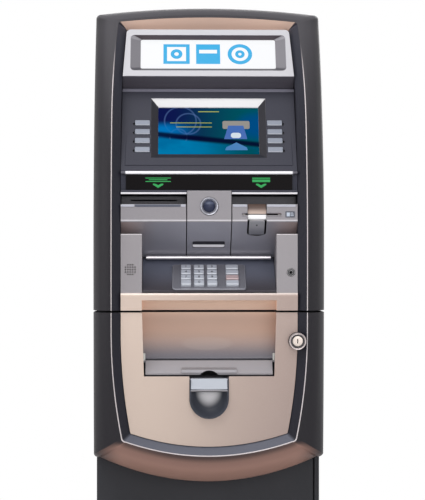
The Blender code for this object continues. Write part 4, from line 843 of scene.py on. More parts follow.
def key_silver(name, body, front, facing, lift):
    """Brushed silver, painted lighter where the surface faces the front as far as the range says: a painted
    highlight.
    """
    silver = Finish(name)
    brushed = silver.grain(260, 2, (0.15, 1.0, 1.0))
    spark = silver.grain(2400, 1)
    front_highlight = (0.0 - silver.tilt("Y")).rise(*facing)
    colour = silver.blend(brushed * 0.25, body, tone(*lift))
    colour = silver.blend(front_highlight, colour, front)
    return silver.surface(colour, 0.34 + brushed * 0.12, 0.2, silver.dents(spark, 0.00002))


# The faces of the keys turned to the front take the lighter colour: a painted highlight.
side_silver = key_silver("function_key_silver", tone(122, 127, 139), tone(168, 171, 180), (0.90, 0.97),
                         (148, 152, 162))
for side, row, x, v in key_places:
    key = raised(f"function_key_{side}_{row}", screen_face, [
        (rounded(0.0262, 0.0102, 0.0012, (x, v)), -0.0050), (rounded(0.0270, 0.0110, 0.0014, (x, v)), -0.0040),
        (rounded(0.0268, 0.0108, 0.0014, (x, v)), 0.0020), (rounded(0.0256, 0.0090, 0.0014, (x, v + 0.0004)), 0.0030),
    ], side_silver)
    settle(soften(key, 0.0003, 2, smooth=30), f"side_key_{side}_{row}")


# --- Display
# An eight-inch colour display behind the window. It shows a plain moving-water background in blues, a
# generic card slot with a card and an arrow, and rows of plain lines where words would be.

PICTURE_FOOT, PICTURE_TALL = 1.1370, 0.0863


def display_finish():
    """The picture behind the prints: u runs across it from the left, and w from its foot."""
    screen = Finish("display_picture")
    x, z = screen.along("X"), screen.along("Z")
    u = (x + WINDOW_WIDTH / 2) * (1 / WINDOW_WIDTH)
    w = (z - PICTURE_FOOT) * (1 / PICTURE_TALL)
    swirl = screen.grain(16, 3, (1.0, 1.0, 2.2))
    colour = screen.blend(u.rise(0.10, 0.95), tone(14, 24, 80), tone(0, 84, 96))
    for centre_u, centre_w, wide, reach in ((0.22, 0.72, 1.9, 0.30), (0.30, 0.66, 1.8, 0.22), (0.20, 0.38, 2.0, 0.17)):
        away = (((u - centre_u) * wide) ** 2 + (w - centre_w) ** 2) ** 0.5
        ring = 1 - (away - reach).size().rise(0.004, 0.022)
        colour = screen.blend(ring * 0.35, colour, tone(96, 130, 190))
    mid = w.rise(0.34, 0.44) * (1 - w.rise(0.56, 0.74)) * (1 - u.rise(0.05, 0.45))
    colour = screen.blend(mid * 0.9, colour, tone(0, 122, 196))
    glow_right = (1 - (((u - 1.0) * 1.3) ** 2 + (w - 0.62) ** 2).rise(0.0, 0.14)) * 0.75
    colour = screen.blend(glow_right * 0.7, colour, tone(0, 70, 160))
    crest = 0.40 - u * 0.22
    dark = 1 - (w - (crest + 0.04)).size().rise(0.02, 0.085)
    colour = screen.blend(dark * 0.94, colour, tone(5, 8, 46))
    low = 1 - (w - (crest - 0.03)).rise(-0.03, 0.03)
    sea = screen.blend(u.rise(0.25, 0.95), tone(0, 124, 176), tone(0, 82, 92))
    sea = screen.blend(swirl.rise(0.45, 0.75) * 0.45, sea, tone(0, 84, 140))
    colour = screen.blend(low, colour, sea)
    colour = screen.blend(screen.grain(1300, 0) * 0.08, colour, tone(0, 0, 0))
    colour = screen.blend((0.0 - screen.tilt("Y")).rise(0.3, 0.6), tone(0, 0, 0), colour)
    return screen.surface(screen.blend(0.85, colour, tone(0, 0, 0)), 0.3, 0.0, None,
                          {"Emission Color": colour, "Emission Strength": 0.8, "Specular IOR Level": 0.0})


display_outline = rounded(0.194, 0.114, 0.002, (0, window_mid))
display = raised("display", screen_face, [(display_outline, -0.0224), (display_outline, -0.0104)], display_finish())
settle(soften(display, 0.0004), "lcd_display")
lines = [strip((-0.018, 0.1235), (0.019, 0.1252)), strip((-0.068, 0.1000), (0.006, 0.1014)),
         strip((-0.057, 0.0915), (0.006, 0.0929))]
slot = [rounded(0.048, 0.0165, 0.003, (0.0490, 0.0965))]
card = [[(0.0275, 0.0670), (0.0685, 0.0670), (0.0620, 0.0950), (0.0350, 0.0950)]]
arrow = [[(0.0290, 0.0440), (0.0690, 0.0440), (0.0670, 0.0500), (0.0490, 0.0600), (0.0310, 0.0500)]]
badge = [rounded(0.0180, 0.0110, 0.0050, (0.0485, 0.0745))]
for name, outlines, low, high, light, colour in (
        ("display_lines", lines, -0.0105, -0.0103, "display_yellow", tone(150, 160, 52)),
        ("display_slot", slot, -0.0105, -0.0102, "display_grey", tone(132, 128, 122)),
        ("display_card", card, -0.0104, -0.0101, "display_blue", tone(16, 84, 164)),
        ("display_arrow", arrow, -0.0105, -0.0102, "display_arrow_blue", tone(18, 108, 172)),
        ("display_card_badge", badge, -0.0102, -0.0100, "display_white", tone(200, 212, 222))):
    marks(name, screen_face, outlines, low, high, glow(light, colour, 0.75), "lcd_display")


# --- Gloss strip
# A strip of black acrylic over the two modules. Luminous green prints point down at the receipt
# outlet and at the card slot.

gloss = Finish("gloss_black")
wave = gloss.grain(40, 2)
gloss_black = gloss.surface(gloss.blend(wave * 0.2, tone(10, 6, 8), tone(20, 15, 17)), 0.16 + wave * 0.06, 0.0,
                            gloss.dents(wave, 0.00002), {"Specular IOR Level": 0.05})
gloss_strip = across("gloss_strip", [(-0.2692, 1.0752), (-0.2692, 1.1008), (-0.2689, 1.1011), (-0.2664, 1.1011),
                                     (-0.2664, 1.0749), (-0.2689, 1.0749)], (-0.1448, 0.1448), gloss_black)
settle(soften(gloss_strip, 0), "label_strip")
strip_face = lean_frame((-0.2692, 1.0749), (-0.2692, 1.1011))
green = []
for x in (-0.0888, 0.0905):
    green.append([(x - 0.0090, 0.0105), (x - 0.0055, 0.0105), (x, 0.0078), (x + 0.0055, 0.0105),
                  (x + 0.0090, 0.0105), (x + 0.0090, 0.0085), (x, 0.0030), (x - 0.0090, 0.0085)])
for i, reach in enumerate((0.022, 0.016, 0.022)):
    green.append(strip((-0.0888 - reach, 0.0135 + 0.0030 * i), (-0.0888 + reach, 0.0149 + 0.0030 * i)))
green += [strip((0.0750, 0.0133), (0.1060, 0.0178)), strip((0.0750, 0.0192), (0.1060, 0.0210))]
marks("strip_pictograms", strip_face, green, -0.0001, 0.0002, glow("strip_green", tone(30, 160, 78), 0.6),
      "label_strip")


# --- Receipt and card modules
# Two moulded fronts in grey metallic paint beside the centre block. Each has a flat face with a light
# bar, a rounded nose and a long undercut that runs back to the keypad. The card one is notched.

def module_paint(name, face, under, end, recess_shade):
    """Grey metallic paint with painted light: lighter where it turns down, warmer towards the outer ends of
    the undercut as a brown painted reflection, painted shade deep in the recess, and painted glints.
    """
    paint = Finish(name)
    flake = paint.grain(3000, 1)
    x, y, z = paint.along("X"), paint.along("Y"), paint.along("Z")
    # Painted reflection: lighter where it turns down, and warmer towards the outer ends of the undercut.
    down = (0.0 - paint.tilt()).rise(0.2, 0.6)
    outer = x.size().rise(0.085, 0.150) * (z.rise(0.965, 1.012))
    low = paint.blend(outer * 0.75, under, end)
    colour = paint.blend(down, face, low)
    # Painted shade deep in the recess over the module tops.
    deep = y.rise(-0.270, -0.262) * z.rise(1.044, 1.050)
    colour = paint.blend(deep, colour, recess_shade)
    colour = paint.blend(flake.glints() * 0.10, colour, tone(250, 248, 246))
    return paint.surface(colour, 0.34 + flake * 0.08, 0.3, paint.dents(flake, 0.00003), {"Coat Weight": 0.12})


# The nose paint is near-white: a painted highlight on the rounded nose of each module.
module_grey = module_paint("module_grey", tone(134, 130, 134), tone(152, 151, 161), tone(146, 124, 116),
                           tone(50, 48, 55))
nose_highlight = flake_paint("nose_highlight", tone(196, 192, 196), tone(150, 146, 150), tone(214, 211, 215), 0.3, 0.1)
trough = moulded("notch_plastic", tone(52, 50, 54), tone(70, 68, 72), 0.4)
FACE_Y = -0.2765
UNDERCUT_FOOT, UNDERCUT_HEAD, UNDERCUT_TALL = (-0.197, 0.957), (-0.274, 1.0175), 0.0979


def module_profile(top):
    """Face, rounded nose and undercut of a folded front, as (y, z, finish number)."""
    return [(FACE_Y + 0.0006, top, 0), (FACE_Y, top - 0.0008, 0), (FACE_Y - 0.0003, 1.0225, 1),
            (FACE_Y - 0.0005, 1.0212, 1), (FACE_Y - 0.0002, 1.0198, 1), (FACE_Y + 0.0008, 1.0186, 0),
            (FACE_Y + 0.0025, 1.0175, 0), (*UNDERCUT_FOOT, 0), (-0.1945, 0.9615, 0), (-0.2725, 1.0205, 0),
            (-0.2725, top - 0.004, 0)]


side_profile = module_profile(1.0495) + [(-0.2360, 1.0455, 0), (-0.2360, 1.0640, 0), (-0.2390, 1.0640, 0),
                                         (-0.2390, 1.0495, 0)]
MODULE_HALF = panel_half(1.020)
receipt_front = across("receipt_front", side_profile, (-MODULE_HALF, -0.0400), module_grey, nose_highlight)
slit_x = -(0.039 + MODULE_HALF) / 2
carve(receipt_front, "DIFFERENCE", block("receipt_slit", (slit_x - 0.0405, -0.2560, 1.0558),
                                         (slit_x + 0.0405, -0.2, 1.0582), trough))
settle(soften(receipt_front, 0.0003, 2, smooth=26), "receipt_face")
card_front = across("card_front", side_profile, (0.0400, MODULE_HALF), module_grey, nose_highlight)
NOTCH = (0.0665, 0.0997)
SLOT = (0.0575, 0.1248)
card_slot = block("card_slot", (SLOT[0], AHEAD, 1.0307), (SLOT[1], FACE_Y + 0.012, 1.0333), trough)
notch_mid, notch_top = sum(NOTCH) / 2, 1.0505
notch_foot = [(notch_mid + 0.0166 * math.cos(t), 1.0 - 0.005 * math.sin(t))
              for t in (math.pi * i / 12 for i in range(13))]
notch_outline = [(NOTCH[1], notch_top)] + notch_foot + [(NOTCH[0], notch_top)]
carve(card_front, "DIFFERENCE", card_slot,
      upright("notch_cutter", notch_outline, AHEAD, FACE_Y + 0.036, trough))
settle(soften(card_front, 0.0003, 2, smooth=26), "card_face")
# Both bar paints are lighter where they turn up: painted light.
bar_grey = plastic_with_painted_light("bar_grey", tone(90, 93, 106), tone(92, 94, 106), tone(142, 145, 158), 0.35)
bar_white = plastic_with_painted_light("bar_white", tone(188, 188, 198), tone(150, 150, 160), tone(214, 214, 222), 0.35)
face_plane = lean_frame((FACE_Y, 1.0), (FACE_Y, 1.1))


def face_bar(name, low, high, radius, stand, finish, node):
    """A thin bar with round corners on the module faces, from (x, z) to (x, z)."""
    centre = ((low[0] + high[0]) / 2, (low[1] + high[1]) / 2 - 1.0)
    size = (high[0] - low[0], high[1] - low[1])
    inner = (size[0] - 0.0006, size[1] - 0.0006)
    thing = raised(name, face_plane, [(rounded(*size, radius, centre), -0.0012),
                                      (rounded(*size, radius, centre), stand - 0.0003),
                                      (rounded(*inner, radius - 0.0003, centre), stand)], finish)
    return settle(soften(thing, 0), node, stands_for=False)


BAR_FOOT, BAR_HEAD = 1.0448, 1.0490
# The white pieces at the two ends of the receipt bar are painted highlights.
for name, start, end, stand, finish, node in (
        ("receipt_bar", -0.1290, -0.0500, 0.0008, bar_grey, "receipt_face"),
        ("receipt_bar_end_highlight", -0.1535, -0.1300, 0.0010, bar_white, "receipt_face"),
        ("receipt_bar_tip_highlight", -0.0490, -0.0412, 0.0010, bar_white, "receipt_face"),
        ("card_bar_left", 0.0412, 0.0655, 0.0009, bar_white, "card_face"),
        ("card_bar_right", 0.1005, 0.1500, 0.0009, bar_white, "card_face")):
    face_bar(name, (start, BAR_FOOT), (end, BAR_HEAD), 0.0012, stand, finish, node)
face_bar("card_sticker", (0.1320, 1.0262), (0.1490, 1.0374), 0.0014, 0.0004,
         moulded("sticker_dark", tone(70, 72, 82), tone(92, 94, 104), 0.3), "card_face")
# The print glows a little, though no lamp is behind it: painted light.
marks("card_sticker_print", face_plane, [strip((0.1345, 0.0285), (0.1400, 0.0352)),
                                         strip((0.1412, 0.0292), (0.1468, 0.0303)),
                                         strip((0.1412, 0.0318), (0.1468, 0.0329)),
                                         strip((0.1412, 0.0340), (0.1455, 0.0349))],
      0.0003, 0.0006, glow("sticker_print_painted_glow", tone(196, 204, 218), 0.1), "card_face")
lip_profile = [(FACE_Y, 1.0358), (FACE_Y - 0.0010, 1.0353), (FACE_Y - 0.0012, 1.0345), (FACE_Y - 0.0004, 1.0335),
               (FACE_Y + 0.0015, 1.0334)]
foot_profile = [(FACE_Y, 1.0282), (FACE_Y - 0.0010, 1.0287), (FACE_Y - 0.0012, 1.0295), (FACE_Y - 0.0004, 1.0305),
                (FACE_Y + 0.0015, 1.0306)]
for side, low, high in (("left", SLOT[0] - 0.0008, NOTCH[0]), ("right", NOTCH[1], SLOT[1] + 0.0008)):
    for level, profile in (("upper", lip_profile), ("lower", foot_profile)):
        lip = across(f"card_slot_lip_{level}_{side}", profile, (low, high), module_grey)
        settle(soften(lip, 0.0002), "card_face", stands_for=False)


def reader_finish():
    """The reader's nose in the notch, with painted light: the throat in a brown painted reflection that
    pales towards its lip, a white painted highlight along the guide, a dark joint, and a grey touch pad,
    lighter towards its top, with a dark dot.
    """
    plastic = Finish("reader_plastic_and_sheen")
    spark = plastic.grain(1800, 1)
    x, z = plastic.along("X"), plastic.along("Z")
    colour = plastic.blend(z.rise(0.9990, 1.0130), tone(118, 118, 126), tone(150, 149, 154))
    # A white painted highlight on the guide, and over it the throat in a warm painted reflection.
    colour = plastic.blend(z.rise(1.0205, 1.0215), colour, tone(253, 251, 251))
    colour = plastic.blend(z.rise(1.0295, 1.0340), colour, tone(196, 174, 162))
    colour = plastic.blend(z.rise(1.0335, 1.0440), colour, tone(92, 74, 67))
    dot = 1 - (((x - 0.083) ** 2 + (z - 1.0130) ** 2) ** 0.5).rise(0.0012, 0.0018)
    colour = plastic.blend(dot * 0.85, colour, tone(52, 52, 60))
    return plastic.surface(colour, 0.36 + spark * 0.08, 0.0, plastic.dents(spark, 0.00004))


reader_plastic_and_sheen = reader_finish()
eased("card_reader", reader_plastic_and_sheen, 0.0003)
guides = {
    "reader_throat": [(-0.2655, 1.0500), (-0.2715, 1.0440), (-0.2745, 1.0370), (-0.2745, 1.0327), (-0.2620, 1.0327),
                      (-0.2620, 1.0500)],
    "reader_guide": [(-0.2750, 1.0313), (-0.2758, 1.0280), (-0.2752, 1.0240), (-0.2728, 1.0228), (-0.2620, 1.0228),
                     (-0.2620, 1.0313)],
    "reader_pad": [(-0.2738, 1.0206), (-0.2724, 1.0176), (-0.2462, 0.9970), (-0.2420, 0.9995), (-0.2650, 1.0206)],
}
for name, profile in guides.items():
    inset = 0.0030 if name == "reader_pad" else 0.0010
    guide = across(name, profile, (NOTCH[0] + inset, NOTCH[1] - inset), reader_plastic_and_sheen)
    settle(soften(guide, 0.0004, 2, smooth=28), "card_reader", stands_for=False)


# --- Centre block with lens and keypad light
# A folded block bridges the two modules. A domed security camera lens sits in a chrome ring in its
# face, and a diffused lamp in its undercut lights the keys.

bridge_top = 1.0731
centre_profile = module_profile(bridge_top) + [(-0.2585, bridge_top - 0.004, 0), (-0.2585, bridge_top, 0)]
centre_block = across("centre_block", centre_profile, (-0.0384, 0.0384), module_grey, nose_highlight)
LENS_Z, LENS_R = 1.046, 0.0158
light_face = lean_frame(UNDERCUT_FOOT, UNDERCUT_HEAD)
light_v = UNDERCUT_TALL * 0.375
carve(centre_block, "DIFFERENCE",
      post("lens_hole", (0, AHEAD, LENS_Z), (0, FACE_Y + 0.012, LENS_Z), LENS_R + 0.0004, trough, sides=64),
      prisms("light_hole", light_face, [rounded(0.0568, 0.0178, 0.003, (0, light_v))], -0.02, 0.01, trough))
settle(soften(centre_block, 0.0003, 2, smooth=26), "centre_panel")
chrome = Finish("lens_chrome")
swirl = chrome.grain(60, 2)
chrome_finish = chrome.surface(chrome.blend(swirl * 0.3, tone(168, 168, 176), tone(206, 206, 214)),
                               0.24 + swirl * 0.06, 0.7, chrome.dents(swirl, 0.00001))


def lens_finish():
    """Dark blue coated glass, with a paler painted reflection of the room where the dome turns up."""
    glass = Finish("lens_glass_and_reflection")
    cloud = glass.grain(80, 2)
    up = glass.tilt().rise(0.12, 0.45)
    colour = glass.blend(up * 0.35, tone(44, 50, 74), tone(150, 160, 188))
    colour = glass.blend(cloud * 0.08, colour, tone(20, 22, 40))
    return glass.surface(colour, 0.30 + cloud * 0.05, 0.0, None, {"Specular IOR Level": 0.3})


ring_profile = [(0, -0.2745), (0.0030, -0.2743), (0.0060, -0.2734), (0.0085, -0.2720), (0.0102, -0.2704),
                (0.0105, -0.2722), (0.0118, -0.2752), (0.0138, -0.2776), (0.0147, -0.2780), (0.0156, -0.2774),
                (0.0158, -0.2762), (0.0158, -0.2605), (0, -0.2605)]
lens = turned("camera_lens_finished", 0.0, LENS_Z, ring_profile, chrome_finish, lens_finish(), sides=72,
              bands=[1, 1, 1, 1] + [0] * 8)
settle(soften(lens, 0, smooth=50), "camera_lens")


def lamp_finish():
    """Frosted lamp cover: its lower half glows, and the upper half is the dark housing."""
    lamp = Finish("keypad_lamp")
    z = lamp.along("Z")
    spark = lamp.grain(900, 1)
    lit = 1 - z.rise(0.9790, 0.9802)
    colour = lamp.blend(lit, tone(44, 43, 50), tone(206, 204, 208))
    return lamp.surface(colour, 0.3 + spark * 0.1, 0.0, None,
                        {"Emission Color": lamp.blend(lit, tone(0, 0, 0), tone(214, 212, 218)),
                         "Emission Strength": 0.25})


lamp_outline = rounded(0.056, 0.017, 0.003, (0, light_v))
lamp_cover = raised("lamp_cover", light_face, [
    (rounded(0.0552, 0.0162, 0.0026, (0, light_v)), -0.006), (lamp_outline, -0.0054), (lamp_outline, -0.0011),
    (rounded(0.0548, 0.0158, 0.0026, (0, light_v)), -0.0005)], lamp_finish())
settle(soften(lamp_cover, 0), "keypad_light")


# --- Keypad shelf and PIN pad
# A dark sloping shelf carries the PIN pad: a metallic plate with sixteen metal keys, ten with a
# printed digit. A near-white plated bar along the joint at the foot of the undercut is a painted highlight
# of its fillet.

shelf_face = lean_frame((-0.283, 0.896), (-0.197, 0.952))


def shelf_finish():
    """Slate paint that lightens up the slope of the shelf."""
    paint = Finish("shelf_paint")
    flake = paint.grain(3000, 1)
    z = paint.along("Z")
    colour = paint.blend(z.rise(0.898, 0.950), tone(58, 54, 60), tone(106, 110, 126))
    colour = paint.blend(flake.glints() * 0.08, colour, tone(220, 222, 230))
    return paint.surface(colour, 0.40 + flake * 0.08, 0.1, paint.dents(flake, 0.00003))


shelf_paint = shelf_finish()
eased("keypad_shelf", shelf_paint, 0.0006)
# A near-white plated bar in the crease at the foot of the undercut: a painted highlight of the fillet.
fillet_highlight = plated("fillet_highlight", tone(232, 226, 230), tone(248, 244, 246), 0.22)
fillet = post("shelf_fillet", (-0.1110, -0.2060, 0.9566), (0.1110, -0.2060, 0.9566), 0.0034, fillet_highlight)
settle(soften(fillet, 0.0006), "keypad_shelf", stands_for=False)
PLATE_V = 0.0456
COLUMNS = ((-0.0402, 0.0175), (-0.0174, 0.0175), (0.0054, 0.0175), (0.0407, 0.0220))
ROW_PITCH = 0.0162
pin_places = [(row, column, x, PLATE_V + (1.5 - row) * ROW_PITCH, width)
              for column, (x, width) in enumerate(COLUMNS) for row in range(4)]
# The plate paint is darker where it turns down and lighter where it turns up, as painted light; the lighter rim and
# edge paint is a painted highlight.
plate_paint = flake_paint("plate_paint", tone(100, 100, 108), tone(76, 74, 80), tone(112, 112, 120), 0.36, 0.3)
plate_edge_highlight = flake_paint("plate_edge_highlight", tone(150, 150, 160), tone(110, 108, 114), tone(186, 186, 196), 0.3, 0.4)
plate_core = rounded(0.118, 0.0676, 0.004, (0, PLATE_V))
plate_rim = rounded(0.129, 0.0786, 0.006, (0, PLATE_V))
pin_plate = raised("pin_plate", shelf_face, [
    (plate_core, -0.009), (plate_core, 0.0004), (plate_rim, 0.0005), (plate_rim, 0.0018),
    (rounded(0.1266, 0.0762, 0.0052, (0, PLATE_V)), 0.0030)], plate_paint, plate_edge_highlight)
carve(pin_plate, "DIFFERENCE", prisms("pin_holes", shelf_face, [
    rounded(width + 0.0008, 0.0133, 0.0015, (x, v), 3) for _, _, x, v, width in pin_places], -0.02, 0.02, plate_paint))
settle(soften(pin_plate, 0.0003, 2, plate_edge_highlight, smooth=28), "pinpad_plate")
# The key faces turned to the front take the lighter colour: a painted highlight.
pin_silver = key_silver("pin_key_silver", tone(176, 180, 190), tone(214, 217, 224), (0.60, 0.85), (214, 216, 222))
pin_rose = key_silver("pin_key_rose", tone(172, 150, 152), tone(214, 192, 192), (0.60, 0.85), (210, 196, 196))
digit_ink = moulded("digit_ink", tone(34, 35, 40), tone(46, 47, 54), 0.4)


def digit(text, matrix, x, v, height):
    """A printed digit as a thin solid on a key top."""
    curve = bpy.data.curves.new("digit", "FONT")
    curve.body, curve.size, curve.extrude = text, 0.0085, 0.0002
    curve.align_x, curve.align_y = "CENTER", "CENTER"
    writing = bpy.data.objects.new("digit", curve)
    bpy.context.scene.collection.objects.link(writing)
    bpy.context.view_layer.update()
    reader = bpy.context.evaluated_depsgraph_get()
    mesh = bpy.data.meshes.new_from_object(writing.evaluated_get(reader))
    bpy.data.objects.remove(writing)
    mesh.transform(matrix @ Matrix.Translation((x, v, height)))
    return mesh


def with_print(thing, mesh, finish):
    """Joins a digit into the mesh of its key."""
    thing.data.materials.append(finish)
    bm = bmesh.new()
    bm.from_mesh(thing.data)
    before = len(bm.faces)
    bm.from_mesh(mesh)
    bmesh.ops.remove_doubles(bm, verts=bm.verts, dist=1e-7)
    bm.faces.ensure_lookup_table()
    for face in bm.faces[before:]:
        face.material_index = 1
    bm.to_mesh(thing.data)
    bm.free()


KEY_TOP = 0.0083
for row, column, x, v, width in pin_places:
    look = pin_rose if (row, column) == (2, 3) else pin_silver
    full = rounded(width, 0.0125, 0.0015, (x, v))
    key = raised(f"pin_key_{row + 1}_{column + 1}_cap", shelf_face, [
        (rounded(width - 0.0006, 0.0119, 0.0012, (x, v)), 0.0015), (full, 0.0022), (full, 0.0074),
        (rounded(width - 0.0018, 0.0107, 0.0014, (x, v)), KEY_TOP)], look)
    if column < 3 and (row < 3 or column == 1):
        number = "0" if row == 3 else str(3 * row + column + 1)
        with_print(key, digit(number, shelf_face, x, v, KEY_TOP), digit_ink)
    settle(soften(key, 0, smooth=40), f"pin_key_{row + 1}_{column + 1}")


# --- Keypad surround
# One moulding in champagne metallic paint: cheeks beside the keypad, a rolled band in front of it, and
# below the band the top of the cash recess. The speaker is behind fine holes at the left.

def champagne(name, lift=0.0):
    """Champagne metallic paint with painted light: warmer and lighter at the left and greyer at the right,
    a brown painted reflection where it turns down, a pale painted highlight where it turns up, and painted
    glints.
    """
    paint = Finish(name)
    flake = paint.grain(3000, 1)
    haze = paint.grain(6, 2)
    x = paint.along("X")
    tilt = paint.tilt()
    # Painted light: lighter and warmer at the left, brown where it turns down, pale where it turns up.
    colour = paint.blend(x.rise(-0.16, 0.17), tone(212, 192, 178), tone(172, 152, 144))
    colour = paint.blend((0.0 - tilt).rise(0.10, 0.70), colour, tone(150, 122, 102))
    colour = paint.blend(tilt.rise(0.20, 0.85) * 0.8 + lift, colour, tone(244, 233, 226))
    colour = paint.blend(flake.glints() * 0.12, colour, tone(255, 252, 248))
    return paint.surface(colour, haze * 0.10 + 0.26, 0.3, paint.dents(flake, 0.00003), {"Coat Weight": 0.15})


def recess_finish():
    """The champagne paint of the cash recess, with painted light: warm under the band, painted grey shade at
    its foot, and a faint painted pool of light in the middle.
    """
    paint = Finish("recess_paint_with_painted_light")
    flake = paint.grain(3000, 1)
    x, z = paint.along("X"), paint.along("Z")
    # Painted shade at the foot, and warm painted light up under the band.
    colour = paint.blend(z.rise(0.778, 0.836), tone(104, 103, 112), tone(208, 174, 155))
    colour = paint.blend(z.rise(0.845, 0.880), colour, tone(250, 214, 190))
    pool = 1 - (((x + 0.003) * (1 / 0.047)) ** 2 + ((z - 0.8055) * (1 / 0.0125)) ** 2).rise(0.55, 1.15)
    colour = paint.blend(pool * 0.12, colour, tone(206, 192, 184))
    colour = paint.blend(flake.glints() * 0.08, colour, tone(255, 250, 245))
    return paint.surface(colour, 0.36 + flake * 0.08, 0.1, paint.dents(flake, 0.00003), {"Coat Weight": 0.15})


recess_paint_with_painted_light = recess_finish()
# The edge copy lifts the painted highlight on the rounded edges. The cheek paint is darker where it turns down and much
# lighter where it turns up: painted light.
champagne_paint = champagne("champagne_paint")
champagne_edge_highlight = champagne("champagne_edge_highlight", 0.18)
cheek_paint = flake_paint("cheek_paint", tone(144, 139, 142), tone(116, 112, 114), tone(214, 210, 212), 0.36, 0.2)
surround_half = panel_half(0.893)
SHELF_HALF = 0.117
band = [(-0.2790, SPLIT, 0), (-0.2808, 0.8885, 0), *arc((-0.2770, 0.8915), 0.0040, 190, 90, 8),
        (-0.2510, 0.8955, 0), (-0.2210, 0.8770, 0), (-0.2210, SPLIT, 0)]
surround = across("surround", band, (-surround_half, surround_half), champagne_paint, cheek_paint)
CHEEK_FOOT, CHEEK_TOP, CHEEK_BACK = 0.8910, 0.998, -0.205
undercut_slope = 0.0605 / 0.077
ledge_y = UNDERCUT_HEAD[0] + (UNDERCUT_HEAD[1] - CHEEK_TOP) / undercut_slope - 0.001
cheek_back_top = CHEEK_TOP - undercut_slope * (CHEEK_BACK - ledge_y)
cheek = [(-0.2770, CHEEK_FOOT, 0), (-0.2762, 0.9955, 0), *arc((-0.2742, 0.9960), 0.0020, 180, 90, 5),
         (ledge_y, CHEEK_TOP, 0), (CHEEK_BACK, cheek_back_top, 0), (CHEEK_BACK, CHEEK_FOOT, 0)]
for low, high in ((-surround_half, -SHELF_HALF), (SHELF_HALF, surround_half)):
    carve(surround, "UNION", across("cheek", cheek, (low, high), cheek_paint))


def chute_wall(low, high, steps=24):
    """The hollow back of the cash recess as (y, z), from the top down."""
    mouth_y, depth, middle, half_tall = -0.281, 0.053, 0.815, 0.068
    points = []
    for i in range(steps + 1):
        z = high - (high - low) * i / steps
        rise = min(1.0, max(-1.0, (z - middle) / half_tall))
        points.append((mouth_y + depth * math.sqrt(1 - rise**2), z))
    return points


recess_foot = SPLIT - 0.01
recess_room = across("recess_room", chute_wall(recess_foot, 0.883) + [(-0.31, recess_foot)],
                     (-SHELF_HALF, SHELF_HALF), recess_paint_with_painted_light)
shelf_room = across("shelf_room", [(-0.2775, 0.916), (-0.2775, 0.8955), (-0.273, 0.8945), (-0.184, 0.946),
                                   (-0.184, 0.972)], (-SHELF_HALF, SHELF_HALF), shelf_paint)
pin_room = prisms("pin_room", shelf_face, [rounded(0.121, 0.0726, 0.002, (0, PLATE_V))], -0.012, 0.02, shelf_paint)
JACK_X, JACK_Z = 0.142, 0.931
SPEAKER_X, SPEAKER_Z = -0.137, 0.936
jack_room = post("jack_room", (JACK_X, AHEAD, JACK_Z), (JACK_X, -0.2525, JACK_Z), 0.0074, cheek_paint, sides=48)
speaker_room = block("speaker_room", (-surround_half - 0.01, -0.2735, SPEAKER_Z - 0.014),
                     (SPEAKER_X + 0.014, -0.2565, SPEAKER_Z + 0.014), trough)
for cutter in (recess_room, pin_room, shelf_room, jack_room, speaker_room):
    carve(surround, "DIFFERENCE", cutter)
speaker_holes = round_rows("speaker_holes", Across=0.0168, Up=0.0168, Columns=5, Rows=5, Radius=0.0014, Top=0.0014,
                           Height=0.030, Reach=0.0105, Place=(SPEAKER_X, -0.265, SPEAKER_Z),
                           Turn=(math.pi / 2, 0.0, 0.0), Finish=key_gap)
carve(surround, "DIFFERENCE", speaker_holes)
settle(soften(surround, 0.0004, 2, champagne_edge_highlight, smooth=26), "keypad_surround")
speaker_profile = [(0, -0.2729), (0.0120, -0.2729), (0.0132, -0.2722), (0.0132, -0.2635), (0, -0.2635)]
settle(soften(turned("speaker_cone", SPEAKER_X, SPEAKER_Z, speaker_profile, black_plastic), 0), "speaker")
jack_profile = [(0, -0.2585), (0.0022, -0.2585), (0.0022, -0.2765), (0.0030, -0.2774), (0.0040, -0.2770),
                (0.0048, -0.2770), (0.0056, -0.2777), (0.0064, -0.2777), (0.0070, -0.2770), (0.0070, -0.2545),
                (0, -0.2545)]
jack_metal = plated("jack_metal", tone(92, 90, 92), tone(150, 148, 150), 0.22)
settle(soften(turned("jack_socket", JACK_X, JACK_Z, jack_profile, jack_metal, black_plastic, sides=48,
                     bands=[1, 1, 0, 0, 1, 1, 0, 0, 0, 0]), 0, smooth=40), "audio_jack")


# --- Lower fascia frame
# The frame goes on below the split as one more moulding in the same paint, and ends in a rounded belly
# that turns under. It hangs on its own two hinges on the vault door.

LOWER_BACK, LOWER_AXIS = -0.1715, -0.1835
BELLY_FOOT = 0.558
lower_ways = (arch(outer_half, VAULT_TOP, 0.602, BELLY_FOOT, 0.010), arch(ridge_half, VAULT_TOP, 0.636, 0.611, 0.008),
              arch(inner_half, VAULT_TOP, 0.648, 0.626, 0.006))
turn_shares = [0.0] * 52 + [i / 10 for i in range(10)] + [1.0] * 30
lower_drops = [0.040 + 0.030 * share for share in turn_shares + [1.0] + turn_shares[::-1]]
lower_frame = frame_shell("lower_frame", lower_ways, lower_drops, LOWER_BACK, LOWER_AXIS,
                          graphite, ridge_highlight, inner_slope)
hinge_eyes(lower_frame, LOWER_AXIS, (0.8215, 0.6415), graphite)
LOCK_X, LOCK_Z, LOCK_HOLE = 0.153, 0.812, 0.0154
lock_room = post("lock_room", (LOCK_X, AHEAD, LOCK_Z), (LOCK_X, -0.23, LOCK_Z), LOCK_HOLE, graphite, sides=64)
carve(lower_frame, "DIFFERENCE", lock_room)
settle(soften(lower_frame, 0, smooth=32), "lower_bezel")


# --- Lower panel
# A moulded plate in champagne paint, dropped into the lower frame. It has the mouth of the cash
# recess, a round-ended cut for the fingers and the hole for the lock.

def scoop_outline(half, top, steps=32):
    """A round-ended tongue under the cash tray."""
    turns = [math.pi + math.pi * i / steps for i in range(steps + 1)]
    return [(-half, top)] + [(half * math.cos(t), 0.710 + half * math.sin(t)) for t in turns] + [(half, top)]


